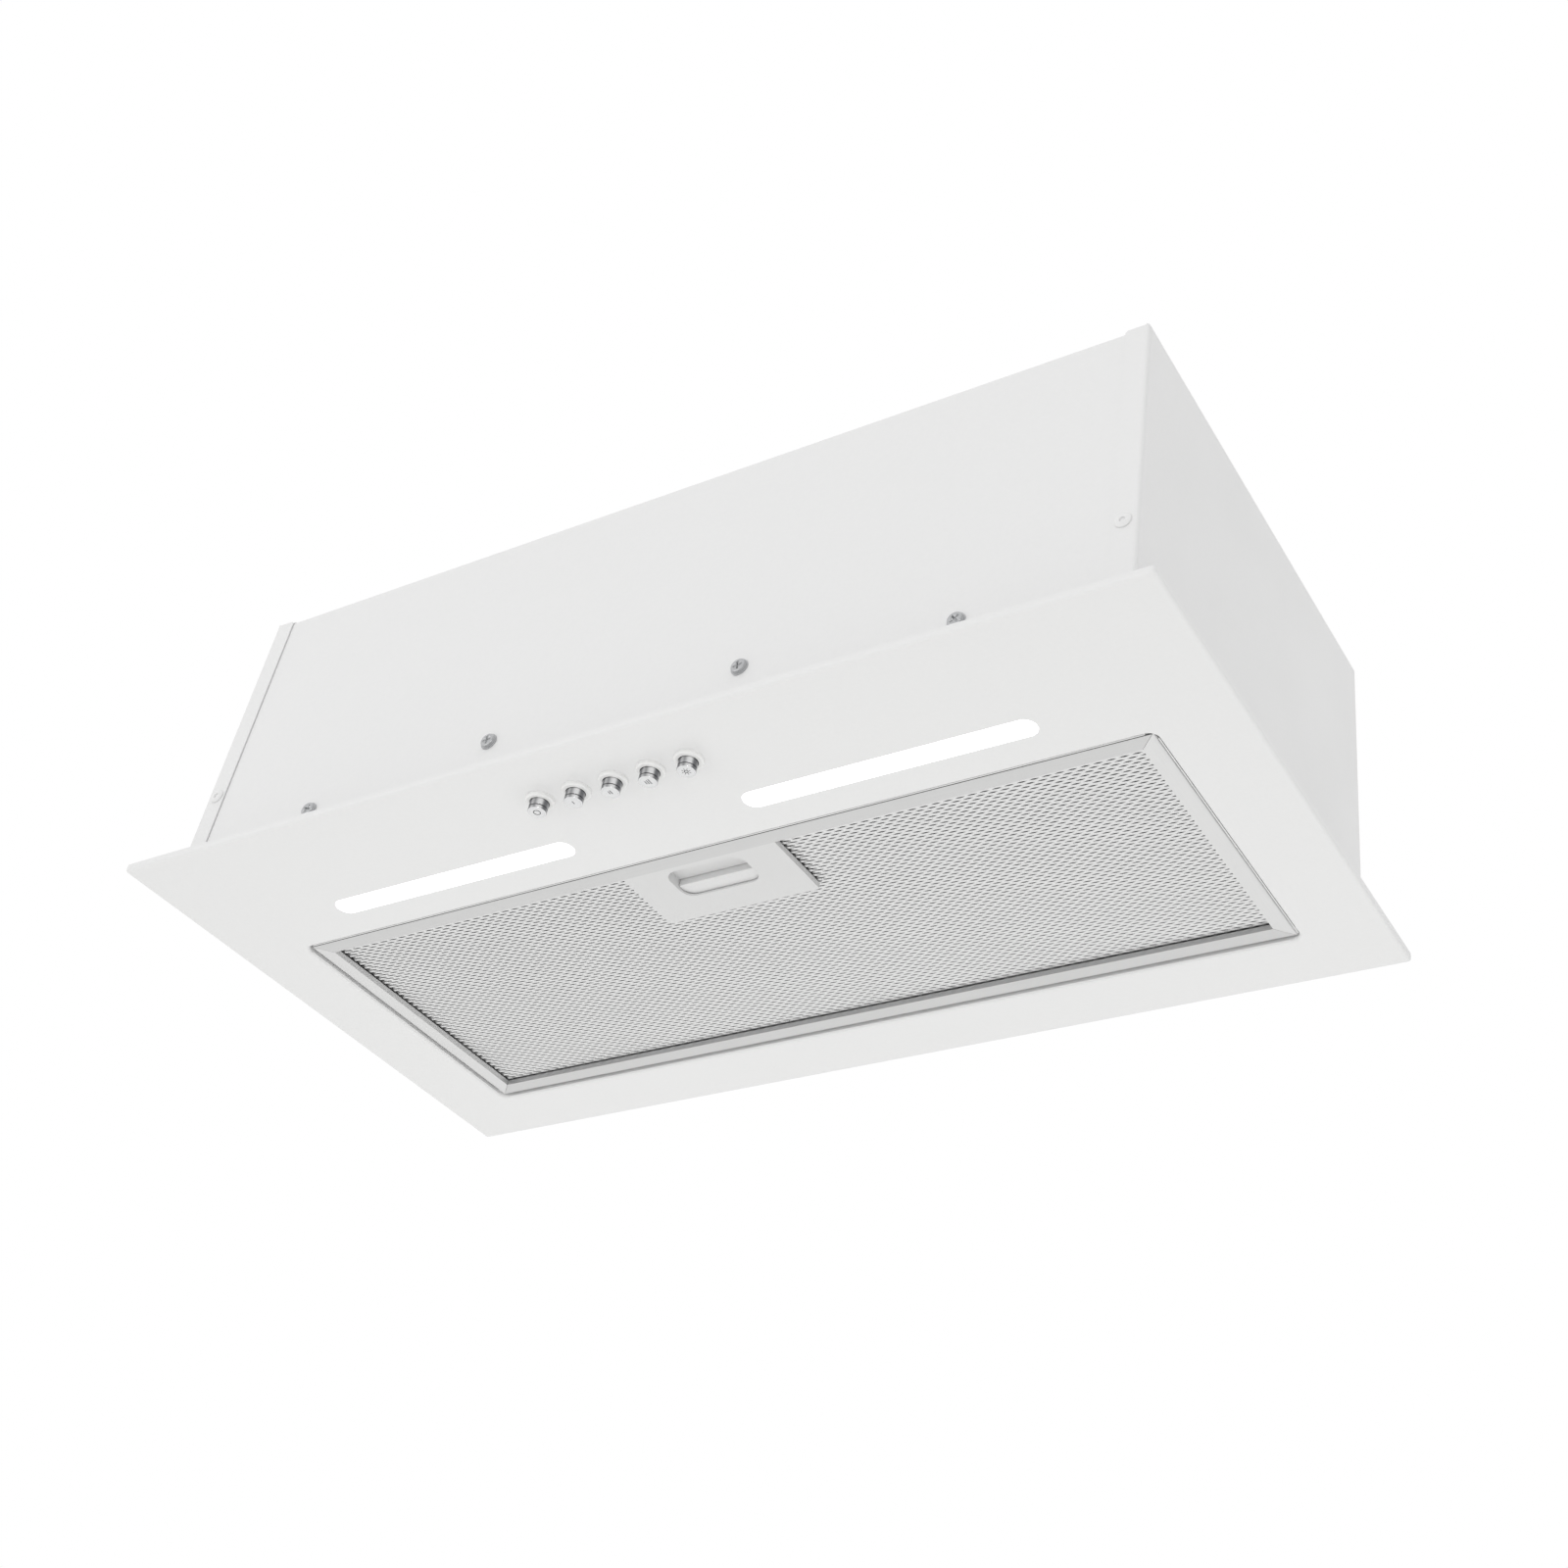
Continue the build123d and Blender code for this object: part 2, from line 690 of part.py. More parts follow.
with BuildPart() as motor_bushes:
    with BuildSketch(shaft_plane(-blower_half)):
        with Locations(bracket_points):
            Circle(bush_radius)
            Circle(screw_radius, mode=Mode.SUBTRACT)
    extrude(amount=bush_length)
save(motor_bushes.part, "motor_bushes")

bracket_outside = bracket_x - bracket_thick
motor_screw_length = -bracket_outside - blower_half + blower_wall
save(cross_head_screws(shaft_plane(bracket_outside), bracket_points, motor_screw_length), "motor_screws")


# ================= electrics =================

with BuildPart() as run_capacitor:
    with BuildSketch(Plane.XY.offset(body_top)):
        with Locations((-capacitor_x, capacitor_y)):
            Rectangle(capacitor_length, capacitor_width)
    extrude(amount=-capacitor_height)
    fillet(run_capacitor.edges().filter_by(Axis.Z), tray_wall)
    with BuildSketch(Plane.XY.offset(body_top)):
        with Locations((-capacitor_x + (capacitor_length + capacitor_ear) / 2, capacitor_y)):
            Rectangle(capacitor_ear, capacitor_ear)
            Circle(screw_radius, mode=Mode.SUBTRACT)
    extrude(amount=-tray_wall)
save(run_capacitor.part, "run_capacitor")

box_low = body_top - terminal_height
with BuildPart() as terminal_box:
    with BuildSketch(Plane.XY.offset(body_top)):
        with Locations((gland_x, gland_y)):
            RectangleRounded(terminal_length, terminal_width, 2 * terminal_wall)
    extrude(amount=-terminal_height)
    with BuildSketch(Plane.XY.offset(box_low)):
        with Locations((gland_x, gland_y)):
            RectangleRounded(terminal_length - 2 * terminal_wall, terminal_width - 2 * terminal_wall, terminal_wall)
    extrude(amount=terminal_height - terminal_wall, mode=Mode.SUBTRACT)
    with BuildSketch(Plane.XY.offset(body_top)):
        with Locations((gland_x, gland_y)):
            Circle(gland_neck)
    extrude(amount=-terminal_wall, mode=Mode.SUBTRACT)
save(terminal_box.part, "terminal_box")

with BuildPart() as terminal_lid:
    with BuildSketch(Plane.XY.offset(box_low)):
        with Locations((gland_x, gland_y)):
            RectangleRounded(terminal_length, terminal_width, 2 * terminal_wall)
    extrude(amount=-terminal_wall)
save(terminal_lid.part, "terminal_lid")

# The gland's body stands on the top panel and its nut is inside the terminal box.
nut_high = body_top - terminal_wall
with BuildPart() as cable_gland:
    with BuildSketch():
        with Locations((gland_x, gland_y)):
            RegularPolygon(gland_neck + gland_rim, 6)
    extrude(amount=gland_height / 2)
    with BuildSketch():
        with Locations((gland_x, gland_y)):
            Circle(gland_neck + gland_rim / 2)
    extrude(amount=gland_height)
    fillet(cable_gland.edges().group_by(Axis.Z)[-1], gland_rim)
    with BuildSketch():
        with Locations((gland_x, gland_y)):
            Circle(gland_neck)
    extrude(amount=nut_high - gland_nut)
    with BuildSketch(Plane.XY.offset(nut_high)):
        with Locations((gland_x, gland_y)):
            RegularPolygon(gland_neck + gland_rim, 6)
            Circle(gland_neck, mode=Mode.SUBTRACT)
    extrude(amount=-gland_nut)
    with BuildSketch(Plane.XY.offset(gland_height)):
        with Locations((gland_x, gland_y)):
            Circle(gland_bore)
    extrude(amount=-2 * (gland_height + gland_nut), mode=Mode.SUBTRACT)
save(cable_gland.part, "cable_gland")

with BuildPart() as lamp_driver:
    with BuildSketch(Plane.XY.offset(plate_top)):
        with Locations((-driver_x, driver_y)):
            RectangleRounded(driver_length, driver_width, tray_wall)
    extrude(amount=driver_height)
    fillet(lamp_driver.faces().sort_by(Axis.Z)[-1].edges(), tray_wall / 2)
save(lamp_driver.part, "lamp_driver")


# ================= lamps =================

for side, sign in sides:
    lamp_place = Location((sign * lamp_x, lamp_y))
    rim_high = plate_top + lamp_rim_thick
    with BuildPart() as lamp_lens:
        with BuildSketch(Plane.XY.offset(base)):
            with Locations(lamp_place):
                SlotOverall(lamp_length - 2 * lamp_gap, lamp_width - 2 * lamp_gap)
        extrude(amount=sheet)
        with BuildSketch(Plane.XY.offset(plate_top)):
            with Locations(lamp_place):
                SlotOverall(lamp_length + 2 * lamp_rim, lamp_width + 2 * lamp_rim)
        extrude(amount=lamp_rim_thick)
    save(lamp_lens.part, f"lamp_lens_{side}")

    tray_high = plate_top + tray_height
    tray_length = lamp_length + 2 * tray_margin
    tray_width = lamp_width + 2 * tray_margin
    with BuildPart() as lamp_tray:
        with BuildSketch(Plane.XY.offset(plate_top)):
            with Locations(lamp_place):
                RectangleRounded(tray_length, tray_width, 2 * tray_wall)
        extrude(amount=tray_height)
        with BuildSketch(Plane.XY.offset(plate_top)):
            with Locations(lamp_place):
                RectangleRounded(tray_length - 2 * tray_wall, tray_width - 2 * tray_wall, tray_wall)
        extrude(amount=tray_height - tray_wall, mode=Mode.SUBTRACT)
        fillet(lamp_tray.faces().sort_by(Axis.Z)[-1].edges(), tray_wall / 2)
    save(lamp_tray.part, f"lamp_tray_{side}")

    board_high = tray_high - tray_wall
    led_pitch = lamp_board_length / led_count
    with BuildPart() as lamp_board:
        with BuildSketch(Plane.XY.offset(board_high)):
            with Locations(lamp_place):
                Rectangle(lamp_board_length, lamp_board_width)
        extrude(amount=-lamp_board_thick)
        with BuildSketch(Plane.XY.offset(board_high - lamp_board_thick)):
            with Locations(lamp_place):
                with GridLocations(led_pitch, led_pitch, led_count, 1):
                    Rectangle(led_side, led_side)
        extrude(amount=-led_thick)
    save(lamp_board.part, f"lamp_board_{side}")


# ================= push buttons =================

button_points = [(x, button_y) for x in button_xs()]
switch_width = button_pitch * (button_count - 1) + 2 * switch_margin
switch_high = plate_top + switch_height

with BuildPart() as switch_housing:
    with BuildSketch(Plane.XY.offset(plate_top)):
        with Locations((0, button_y)):
            RectangleRounded(switch_width, switch_depth, tray_wall)
    extrude(amount=switch_height)
    with BuildSketch(Plane.XY.offset(collar_top)):
        with Locations((0, button_y)):
            Rectangle(switch_width - 2 * tray_wall, switch_depth - 2 * tray_wall)
    extrude(amount=switch_height, mode=Mode.SUBTRACT)
    with BuildSketch(Plane.XY.offset(plate_top)):
        with Locations(button_points):
            Circle(collar_neck)
    extrude(amount=switch_floor, mode=Mode.SUBTRACT)
save(switch_housing.part, "switch_housing")

with BuildPart() as button_collars:
    with BuildSketch(Plane.XY.offset(base)):
        with Locations(button_points):
            Circle(collar_radius)
    extrude(amount=-collar_height)
    fillet(button_collars.edges().group_by(Axis.Z)[0], 0.45 * collar_height)
    with BuildSketch(Plane.XY.offset(base)):
        with Locations(button_points):
            Circle(collar_neck)
    extrude(amount=collar_top - base)
    with BuildSketch(Plane.XY.offset(base - collar_height)):
        with Locations(button_points):
            Circle(collar_bore)
    extrude(amount=collar_top - base + collar_height, mode=Mode.SUBTRACT)
save(button_collars.part, "button_collars")

stop_low = collar_top + free_gap
stem_top = switch_high + board_thick + contact_height
shoulder = base + button_shoulder_z
for index, point in enumerate(button_points, start=1):
    with BuildPart() as button:
        with BuildSketch(Plane.XY.offset(base - button_reach)):
            with Locations(point):
                Circle(button_radius)
        extrude(amount=button_reach + button_shoulder_z)
        fillet(button.edges().group_by(Axis.Z)[0], button_edge)
        with BuildSketch(Plane.XY.offset(stop_low)):
            with Locations(point):
                Circle(collar_neck + button_edge)
        extrude(amount=button_stop_thick)
        with BuildSketch(Plane.XY.offset(shoulder)):
            with Locations(point):
                Circle(stem_radius)
        extrude(amount=stem_top - button_travel - free_gap - shoulder)
        with BuildSketch(Plane.XY.offset(base - button_reach + button_cap)):
            with Locations(point):
                Circle(button_radius)
                Circle(button_radius - button_groove, mode=Mode.SUBTRACT)
        extrude(amount=button_groove, mode=Mode.SUBTRACT)
    save(button.part, f"button_{index}")

# Each return spring stands on the button's shoulder and pushes against the switch board.
spring_radius = stem_radius + spring_gap + wire / 2
for index, (x, y) in enumerate(button_points, start=1):
    with BuildPart() as button_spring:
        spring_rise = switch_high - shoulder - wire
        spring_foot = (x, y, shoulder + wire / 2)
        with BuildLine():
            path = Helix(spring_rise / spring_turns, spring_rise, spring_radius, center=spring_foot)
        with BuildSketch(Plane(origin=path @ 0, z_dir=path % 0)):
            Circle(wire / 2)
        sweep(is_frenet=True)
    save(button_spring.part, f"button_spring_{index}")

# The board closes the housing; a contact block sits over each stem.
with BuildPart() as switch_board:
    with BuildSketch(Plane.XY.offset(switch_high)):
        with Locations((0, button_y)):
            Rectangle(switch_width, switch_depth)
    extrude(amount=board_thick)
    with BuildSketch(Plane.XY.offset(switch_high + board_thick)):
        with Locations(button_points):
            Rectangle(switch_depth - 4 * tray_wall, switch_depth - 4 * tray_wall)
    extrude(amount=contact_height + board_thick)
    with BuildSketch(Plane.XY.offset(switch_high)):
        with Locations(button_points):
            Circle(stem_radius + free_gap)
    extrude(amount=board_thick + contact_height, mode=Mode.SUBTRACT)
save(switch_board.part, "switch_board")


# ================= grease filter =================


def mitred_channel(origin, inward, length):
    """A folded channel along one edge of the filter, cut at 45 degrees at both ends."""
    run = Vector(inward).cross(Vector(0, 0, 1))
    lip_start = frame_border - frame_wall
    half_run = length / 2 - mitre_gap
    with BuildPart() as channel:
        with BuildSketch(Plane(origin=origin, x_dir=inward, z_dir=run)):
            with BuildLine():
                Polyline(
                    (0, 0),
                    (frame_border, 0),
                    (frame_border, frame_lip),
                    (lip_start, frame_lip),
                    (lip_start, frame_wall),
                    (frame_wall, frame_wall),
                    (frame_wall, frame_height - frame_wall),
                    (frame_return, frame_height - frame_wall),
                    (frame_return, frame_height),
                    (0, frame_height),
                    close=True,
                )
            make_face()
        extrude(amount=length / 2, both=True)
        fillet(channel.edges().filter_by(Axis((0, 0, 0), run)).sort_by_distance(origin)[0], frame_edge)
        with BuildSketch(Plane(origin=origin, x_dir=inward, z_dir=(0, 0, 1))):
            with BuildLine():
                Polyline(
                    (0, -half_run),
                    (frame_border, frame_border - half_run),
                    (frame_border, half_run - frame_border),
                    (0, half_run),
                    close=True,
                )
            make_face()
        extrude(amount=frame_height, mode=Mode.INTERSECT)
    return channel.part


pocket_high = base + pocket_z + pocket_skin
arm_low = pocket_high + free_gap

with BuildPart() as filter_channel_front:
    add(mitred_channel((0, filter_front, frame_low), (0, 1, 0), filter_width))
    with Locations((0, filter_front, (arm_low - free_gap + mesh_high) / 2)):
        Box(arm_width + 4 * free_gap, 4 * frame_wall, mesh_high - arm_low + free_gap, mode=Mode.SUBTRACT)
save(filter_channel_front.part, "filter_channel_front")

save(mitred_channel((0, filter_back, frame_low), (0, -1, 0), filter_width), "filter_channel_back")

# The side channels carry the pins that the filter swings on, in the holes of the opening's rim.
for side, sign in sides:
    with BuildPart() as filter_channel:
        add(mitred_channel((sign * filter_width / 2, opening_y, frame_low), (-sign, 0, 0), filter_depth))
        with BuildSketch(Plane.YZ.offset(sign * (filter_width / 2 - frame_wall))):
            with Locations((pivot_y, base + pivot_z)):
                Circle(pivot_radius)
        extrude(amount=sign * (frame_wall + filter_gap + sheet))
    save(filter_channel.part, f"filter_channel_{side}")

latch_inner = recess_width / 2
latch_outer = latch_inner + latch_skin
chamber_back = latch_back - frame_lip
mesh_layer_pitch = (mesh_high - mesh_low - mesh_layer_thick) / (mesh_layers - 1)
with BuildPart() as filter_mesh:
    with BuildSketch(*[Plane.XY.offset(mesh_low + mesh_layer_pitch * layer) for layer in range(mesh_layers)]):
        with Locations((0, opening_y)):
            inset = 2 * (frame_wall + mesh_clearance)
            Rectangle(filter_width - inset, filter_depth - inset)
        cut_depth = chamber_back + mesh_clearance - filter_front
        with Locations((0, filter_front + cut_depth / 2)):
            Rectangle(2 * (latch_outer + mesh_clearance), cut_depth, mode=Mode.SUBTRACT)
    extrude(amount=mesh_layer_thick)
save(filter_mesh.part, "filter_mesh")


# ================= latch =================

recess_front = latch_front + recess_margin
recess_back = recess_front + recess_depth
pocket_back = recess_front + pocket_depth
recess_centre = (0, (recess_front + recess_back) / 2)
skin_top = frame_low + latch_skin

with BuildPart() as latch_plate:
    with BuildSketch(Plane.XY.offset(frame_low)):
        with Locations((0, latch_front + latch_depth / 2)):
            Rectangle(latch_width, latch_depth)
    extrude(amount=frame_lip)
    fillet(latch_plate.edges().filter_by(Axis.Z).group_by(Axis.Y)[-1], latch_skin)
    with BuildSketch(Plane.XY.offset(skin_top)):
        with Locations((0, latch_front + latch_depth / 2)):
            Rectangle(latch_width - 2 * latch_skin, latch_depth - 2 * latch_skin)
    extrude(amount=frame_lip, mode=Mode.SUBTRACT)
    with BuildSketch(Plane.XY.offset(skin_top)):
        with Locations((0, (latch_front + chamber_back) / 2)):
            Rectangle(2 * latch_outer, chamber_back - latch_front)
            Rectangle(2 * latch_inner, chamber_back - latch_front - 2 * latch_skin, mode=Mode.SUBTRACT)
    extrude(amount=frame_high - skin_top)
    with BuildSketch(Plane.XY.offset(skin_top)):
        with Locations((0, (latch_front + pocket_back) / 2)):
            Rectangle(2 * latch_outer, pocket_back - latch_front)
    extrude(amount=pocket_high - skin_top)
    with BuildSketch(Plane.XY.offset(frame_low)):
        with Locations(recess_centre):
            RectangleRounded(recess_width, recess_depth, recess_corner)
    extrude(amount=latch_skin, mode=Mode.SUBTRACT)
    with BuildSketch(Plane.XY.offset(frame_low)):
        with Locations(recess_centre):
            RectangleRounded(recess_width, recess_depth, recess_corner)
        with Locations((0, pocket_back + recess_depth / 2)):
            Rectangle(2 * recess_width, recess_depth, mode=Mode.SUBTRACT)
    extrude(amount=base + pocket_z - frame_low, mode=Mode.SUBTRACT)
    with Locations((0, latch_front, (arm_low - free_gap + frame_high) / 2)):
        Box(arm_width + 4 * free_gap, 4 * latch_skin, frame_high - arm_low + free_gap, mode=Mode.SUBTRACT)
save(latch_plate.part, "latch_plate")

# The slider's tab is pulled back through the recess; its arm runs over the recess to the opening's edge.
tab_front = pocket_back + free_gap
tongue_end = opening_front + tongue_gap
with BuildPart() as latch_slider:
    with BuildSketch(Plane.XY.offset(base + latch_face_z)):
        with Locations((0, tab_front + slider_length / 2)):
            Rectangle(2 * (latch_inner - free_gap), slider_length)
    extrude(amount=arm_low + arm_thick - base - latch_face_z)
    fillet(latch_slider.edges().filter_by(Axis.X).group_by(Axis.Z)[0].sort_by(Axis.Y)[0], button_edge)
    with BuildSketch(Plane.XY.offset(arm_low)):
        with Locations((0, (tongue_end + tab_front) / 2)):
            Rectangle(arm_width, tab_front - tongue_end)
    extrude(amount=arm_thick)
save(latch_slider.part, "latch_slider")

spring_start = tab_front + slider_length
with BuildPart() as latch_spring:
    spring_run = chamber_back - latch_skin - spring_start - wire
    spring_centre = (0, spring_start + wire / 2, base + pocket_z)
    with BuildLine():
        spring_path = Helix(
            spring_run / spring_turns,
            spring_run,
            latch_spring_radius,
            center=spring_centre,
            direction=(0, 1, 0),
        )
    with BuildSketch(Plane(origin=spring_path @ 0, z_dir=spring_path % 0)):
        Circle(wire / 2)
    sweep(is_frenet=True)
save(latch_spring.part, "latch_spring")
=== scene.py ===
"""Finished look of a built-in range hood, 600 mm wide, around its fixed frame.

The frame brings every sheet, moulding and shaft at its place. This script gives each of them its finish,
and builds what the frame only stands in for: the expanded aluminium of the grease filter, the coil springs,
the cross head screws, the blind rivets and the push buttons with their marks.
"""

import logging
import math
from dataclasses import dataclass, field
from enum import Enum

import bmesh
import bpy
from mathutils import Matrix, Vector


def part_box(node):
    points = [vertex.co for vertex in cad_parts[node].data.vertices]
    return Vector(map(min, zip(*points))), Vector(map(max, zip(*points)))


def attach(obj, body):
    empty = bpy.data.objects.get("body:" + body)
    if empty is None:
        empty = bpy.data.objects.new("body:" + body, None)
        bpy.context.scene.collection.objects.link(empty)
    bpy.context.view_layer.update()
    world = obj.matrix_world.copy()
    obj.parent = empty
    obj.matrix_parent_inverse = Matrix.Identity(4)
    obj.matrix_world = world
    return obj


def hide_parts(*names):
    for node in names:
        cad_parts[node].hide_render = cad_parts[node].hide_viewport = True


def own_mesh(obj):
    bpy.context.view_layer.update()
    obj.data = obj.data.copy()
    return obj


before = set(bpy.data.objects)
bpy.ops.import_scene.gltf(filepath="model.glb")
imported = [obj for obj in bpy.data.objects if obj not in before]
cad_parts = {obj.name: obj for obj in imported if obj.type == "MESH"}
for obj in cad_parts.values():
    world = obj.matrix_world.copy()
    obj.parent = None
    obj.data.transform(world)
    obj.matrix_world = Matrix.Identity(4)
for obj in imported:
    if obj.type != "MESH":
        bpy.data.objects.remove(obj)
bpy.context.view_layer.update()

MM = 0.001
# Numbers of a mix node's colour sockets, because its socket names repeat for each kind of data.
MIX_COLOUR_A = 6
MIX_COLOUR_B = 7
MIX_COLOUR_RESULT = 2
log = logging.getLogger("range_hood")


# ---------------------------------------------------------------------------------------------
# Nodes and meshes
# ---------------------------------------------------------------------------------------------


def add_node(
    tree: bpy.types.NodeTree,
    kind: str,
    settings: dict[str, object] | None = None,
    inputs: dict[str | int, object] | None = None,
) -> bpy.types.Node:
    """Adds one node to a tree.

    Args:
        tree: The shader or geometry tree.
        kind: The node's type name.
        settings: Properties of the node by name.
        inputs: Values, or sockets to link from, by the input's name or number.

    Returns:
        The new node.
    """
    node = tree.nodes.new(kind)
    for name, value in (settings or {}).items():
        setattr(node, name, value)
    for key, value in (inputs or {}).items():
        if isinstance(value, bpy.types.NodeSocket):
            tree.links.new(value, node.inputs[key])
        else:
            node.inputs[key].default_value = value
    return node


def linear(colour: str, alpha: float = 1.0) -> tuple[float, float, float, float]:
    """Turns an sRGB hex colour to linear light.

    Args:
        colour: Six hex digits.
        alpha: The fourth value.

    Returns:
        Red, green, blue and alpha.
    """
    parts = [int(colour[start : start + 2], 16) / 255 for start in (0, 2, 4)]
    return (*[part / 12.92 if part <= 0.04045 else ((part + 0.055) / 1.055) ** 2.4 for part in parts], alpha)


def calculate(tree: bpy.types.NodeTree, operation: str, *values: object) -> bpy.types.NodeSocket:
    """One step of arithmetic in a tree.

    Args:
        tree: The shader or geometry tree.
        operation: The Math node's operation.
        values: Numbers or sockets, in the node's order.

    Returns:
        The result's socket.
    """
    return add_node(tree, "ShaderNodeMath", {"operation": operation}, dict(enumerate(values))).outputs[0]


def new_piece(name: str, shape: bmesh.types.BMesh, smooth_below: float = 32.0) -> bpy.types.Object:
    """Makes an object from a closed shape, with soft shading and sharp corners.

    Args:
        name: The object's name.
        shape: The shape, which is freed.
        smooth_below: Edges under this angle, in degrees, shade smooth.

    Returns:
        The new object, at the origin.
    """
    bmesh.ops.recalc_face_normals(shape, faces=shape.faces)
    mesh = bpy.data.meshes.new(name)
    shape.to_mesh(mesh)
    shape.free()
    mesh.polygons.foreach_set("use_smooth", [True] * len(mesh.polygons))
    mesh.set_sharp_from_angle(angle=math.radians(smooth_below))
    piece = bpy.data.objects.new(name, mesh)
    bpy.context.scene.collection.objects.link(piece)
    return piece


def filleted(corners: list[tuple[float, float, float]], steps: int = 5) -> list[Vector]:
    """Rounds the corners of a profile.

    Args:
        corners: Radius, height and corner radius of each point, in order.
        steps: Straight pieces in each rounded corner.

    Returns:
        The profile's points.
    """
    points = []
    for index, (across, up, radius) in enumerate(corners):
        here = Vector((across, up))
        if radius == 0:
            points.append(here)
            continue
        back = (Vector(corners[index - 1][:2]) - here).normalized()
        ahead = (Vector(corners[index + 1][:2]) - here).normalized()
        half_turn = back.angle(ahead) / 2
        reach = radius / math.tan(half_turn)
        centre = here + (back + ahead).normalized() * radius / math.sin(half_turn)
        first, last = here + back * reach - centre, here + ahead * reach - centre
        for step in range(steps + 1):
            points.append(centre + first.normalized().slerp(last.normalized(), step / steps) * radius)
    return points


def add_lathe(shape: bmesh.types.BMesh, profile: list[Vector], place: Matrix, sides: int) -> None:
    """Turns a profile about the local Z axis and adds it to a shape.

    Args:
        shape: The shape that grows.
        profile: Radius and height of each point. A closed turning starts and ends at radius 0.
        place: Where the local axes lie.
        sides: Facets round the axis.
    """
    rings = []
    for across, up in profile:
        count = 1 if across < 1e-9 else sides
        turns = [math.tau * number / sides for number in range(count)]
        points = [Vector((across * math.cos(turn), across * math.sin(turn), up)) for turn in turns]
        rings.append([shape.verts.new(place @ point) for point in points])
    for low, high in zip(rings, rings[1:]):
        for number in range(sides):
            after = (number + 1) % sides
            corners = [
                low[number % len(low)],
                low[after % len(low)],
                high[after % len(high)],
                high[number % len(high)],
            ]
            face = list(dict.fromkeys(corners))
            if len(face) > 2:
                shape.faces.new(face)


def reflection_band_uv(piece: bpy.types.Object, middle: Vector) -> None:
    """Maps a turned piece by its direction from its own axis, so that the painted reflection bands run along
    it without a seam.

    Args:
        piece: The piece.
        middle: A point on its vertical axis.
    """
    layer = piece.data.uv_layers.new(name="turned")
    for loop in piece.data.loops:
        away = piece.data.vertices[loop.vertex_index].co.xy - middle.xy
        way = away.normalized() if away.length > 1e-9 else away
        layer.data[loop.index].uv = (0.5 + way.x / 2, 0.5 + way.y / 2)


def add_bar(shape: bmesh.types.BMesh, size: tuple[float, float, float], place: Matrix, bevel: float) -> None:
    """Adds a bar with softened edges to a shape.

    Args:
        shape: The shape that grows.
        size: The bar's extents along its own axes.
        place: Where its middle and axes lie.
        bevel: Width of the softened edges.
    """
    made = bmesh.ops.create_cube(shape, size=1.0, matrix=place @ Matrix.Diagonal((*size, 1.0)))
    edges = list({edge for vertex in made["verts"] for edge in vertex.link_edges})
    bmesh.ops.bevel(shape, geom=edges, offset=bevel, segments=2, profile=0.5, affect="EDGES")


def grow(
    tree: bpy.types.NodeTree, name: str, inputs: dict[str, object], points: list[Vector]
) -> bpy.types.Object:
    """Runs a geometry tree and keeps its result as a plain mesh.

    Args:
        tree: The geometry tree.
        name: The new object's name.
        inputs: Values of the tree's inputs by name.
        points: Points that the tree starts from.

    Returns:
        The object, with no modifier left on it.
    """
    mesh = bpy.data.meshes.new(name)
    mesh.from_pydata(points, [], [])
    piece = bpy.data.objects.new(name, mesh)
    bpy.context.scene.collection.objects.link(piece)
    modifier = piece.modifiers.new(name, "NODES")
    modifier.node_group = tree
    for item in tree.interface.items_tree:
        if item.item_type == "SOCKET" and item.in_out == "INPUT" and item.name in inputs:
            modifier[item.identifier] = inputs[item.name]
    evaluated = piece.evaluated_get(bpy.context.evaluated_depsgraph_get())
    grown = bpy.data.meshes.new_from_object(evaluated)
    piece.modifiers.remove(modifier)
    piece.data = grown
    grown.name = name
    return piece


def new_tree(name: str, inputs: dict[str, str]) -> tuple[bpy.types.NodeTree, dict[str, bpy.types.NodeSocket]]:
    """Starts a geometry tree with named inputs and one geometry output.

    Args:
        name: The tree's name.
        inputs: Socket types by input name.

    Returns:
        The tree, and the sockets of its inputs by name.
    """
    tree = bpy.data.node_groups.new(name, "GeometryNodeTree")
    tree.interface.new_socket("Geometry", in_out="OUTPUT", socket_type="NodeSocketGeometry")
    tree.interface.new_socket("Geometry", in_out="INPUT", socket_type="NodeSocketGeometry")
    for given, kind in inputs.items():
        tree.interface.new_socket(given, in_out="INPUT", socket_type=kind)
    entry = add_node(tree, "NodeGroupInput")
    return tree, {socket.name: socket for socket in entry.outputs if socket.name}


def end_tree(
    tree: bpy.types.NodeTree, geometry: bpy.types.NodeSocket, material: bpy.types.NodeSocket
) -> None:
    """Ends a geometry tree in real geometry with its material.

    Args:
        tree: The geometry tree.
        geometry: What the tree has made.
        material: The input that names the material.
    """
    real = add_node(tree, "GeometryNodeRealizeInstances", inputs={"Geometry": geometry})
    dressed = add_node(
        tree, "GeometryNodeSetMaterial", inputs={"Geometry": real.outputs[0], "Material": material}
    )
    add_node(tree, "NodeGroupOutput", inputs={"Geometry": dressed.outputs[0]})


# ---------------------------------------------------------------------------------------------
# Finishes
# ---------------------------------------------------------------------------------------------


class Pattern(Enum):
    """What the surface shows close up."""

    ORANGE_PEEL = "sprayed and baked coat"
    MOULDED_GRAIN = "grain of the mould"
    DRAWN_LINES = "lines along the rolling or grinding direction"
    SPANGLE = "crystals of hot dip zinc"
    LAMINATIONS = "edges of stacked sheets"
    # Bright bands of painted reflection round a turned part, as chrome shows them.
    TURNED_STREAKS = "bands that run along a turned part"


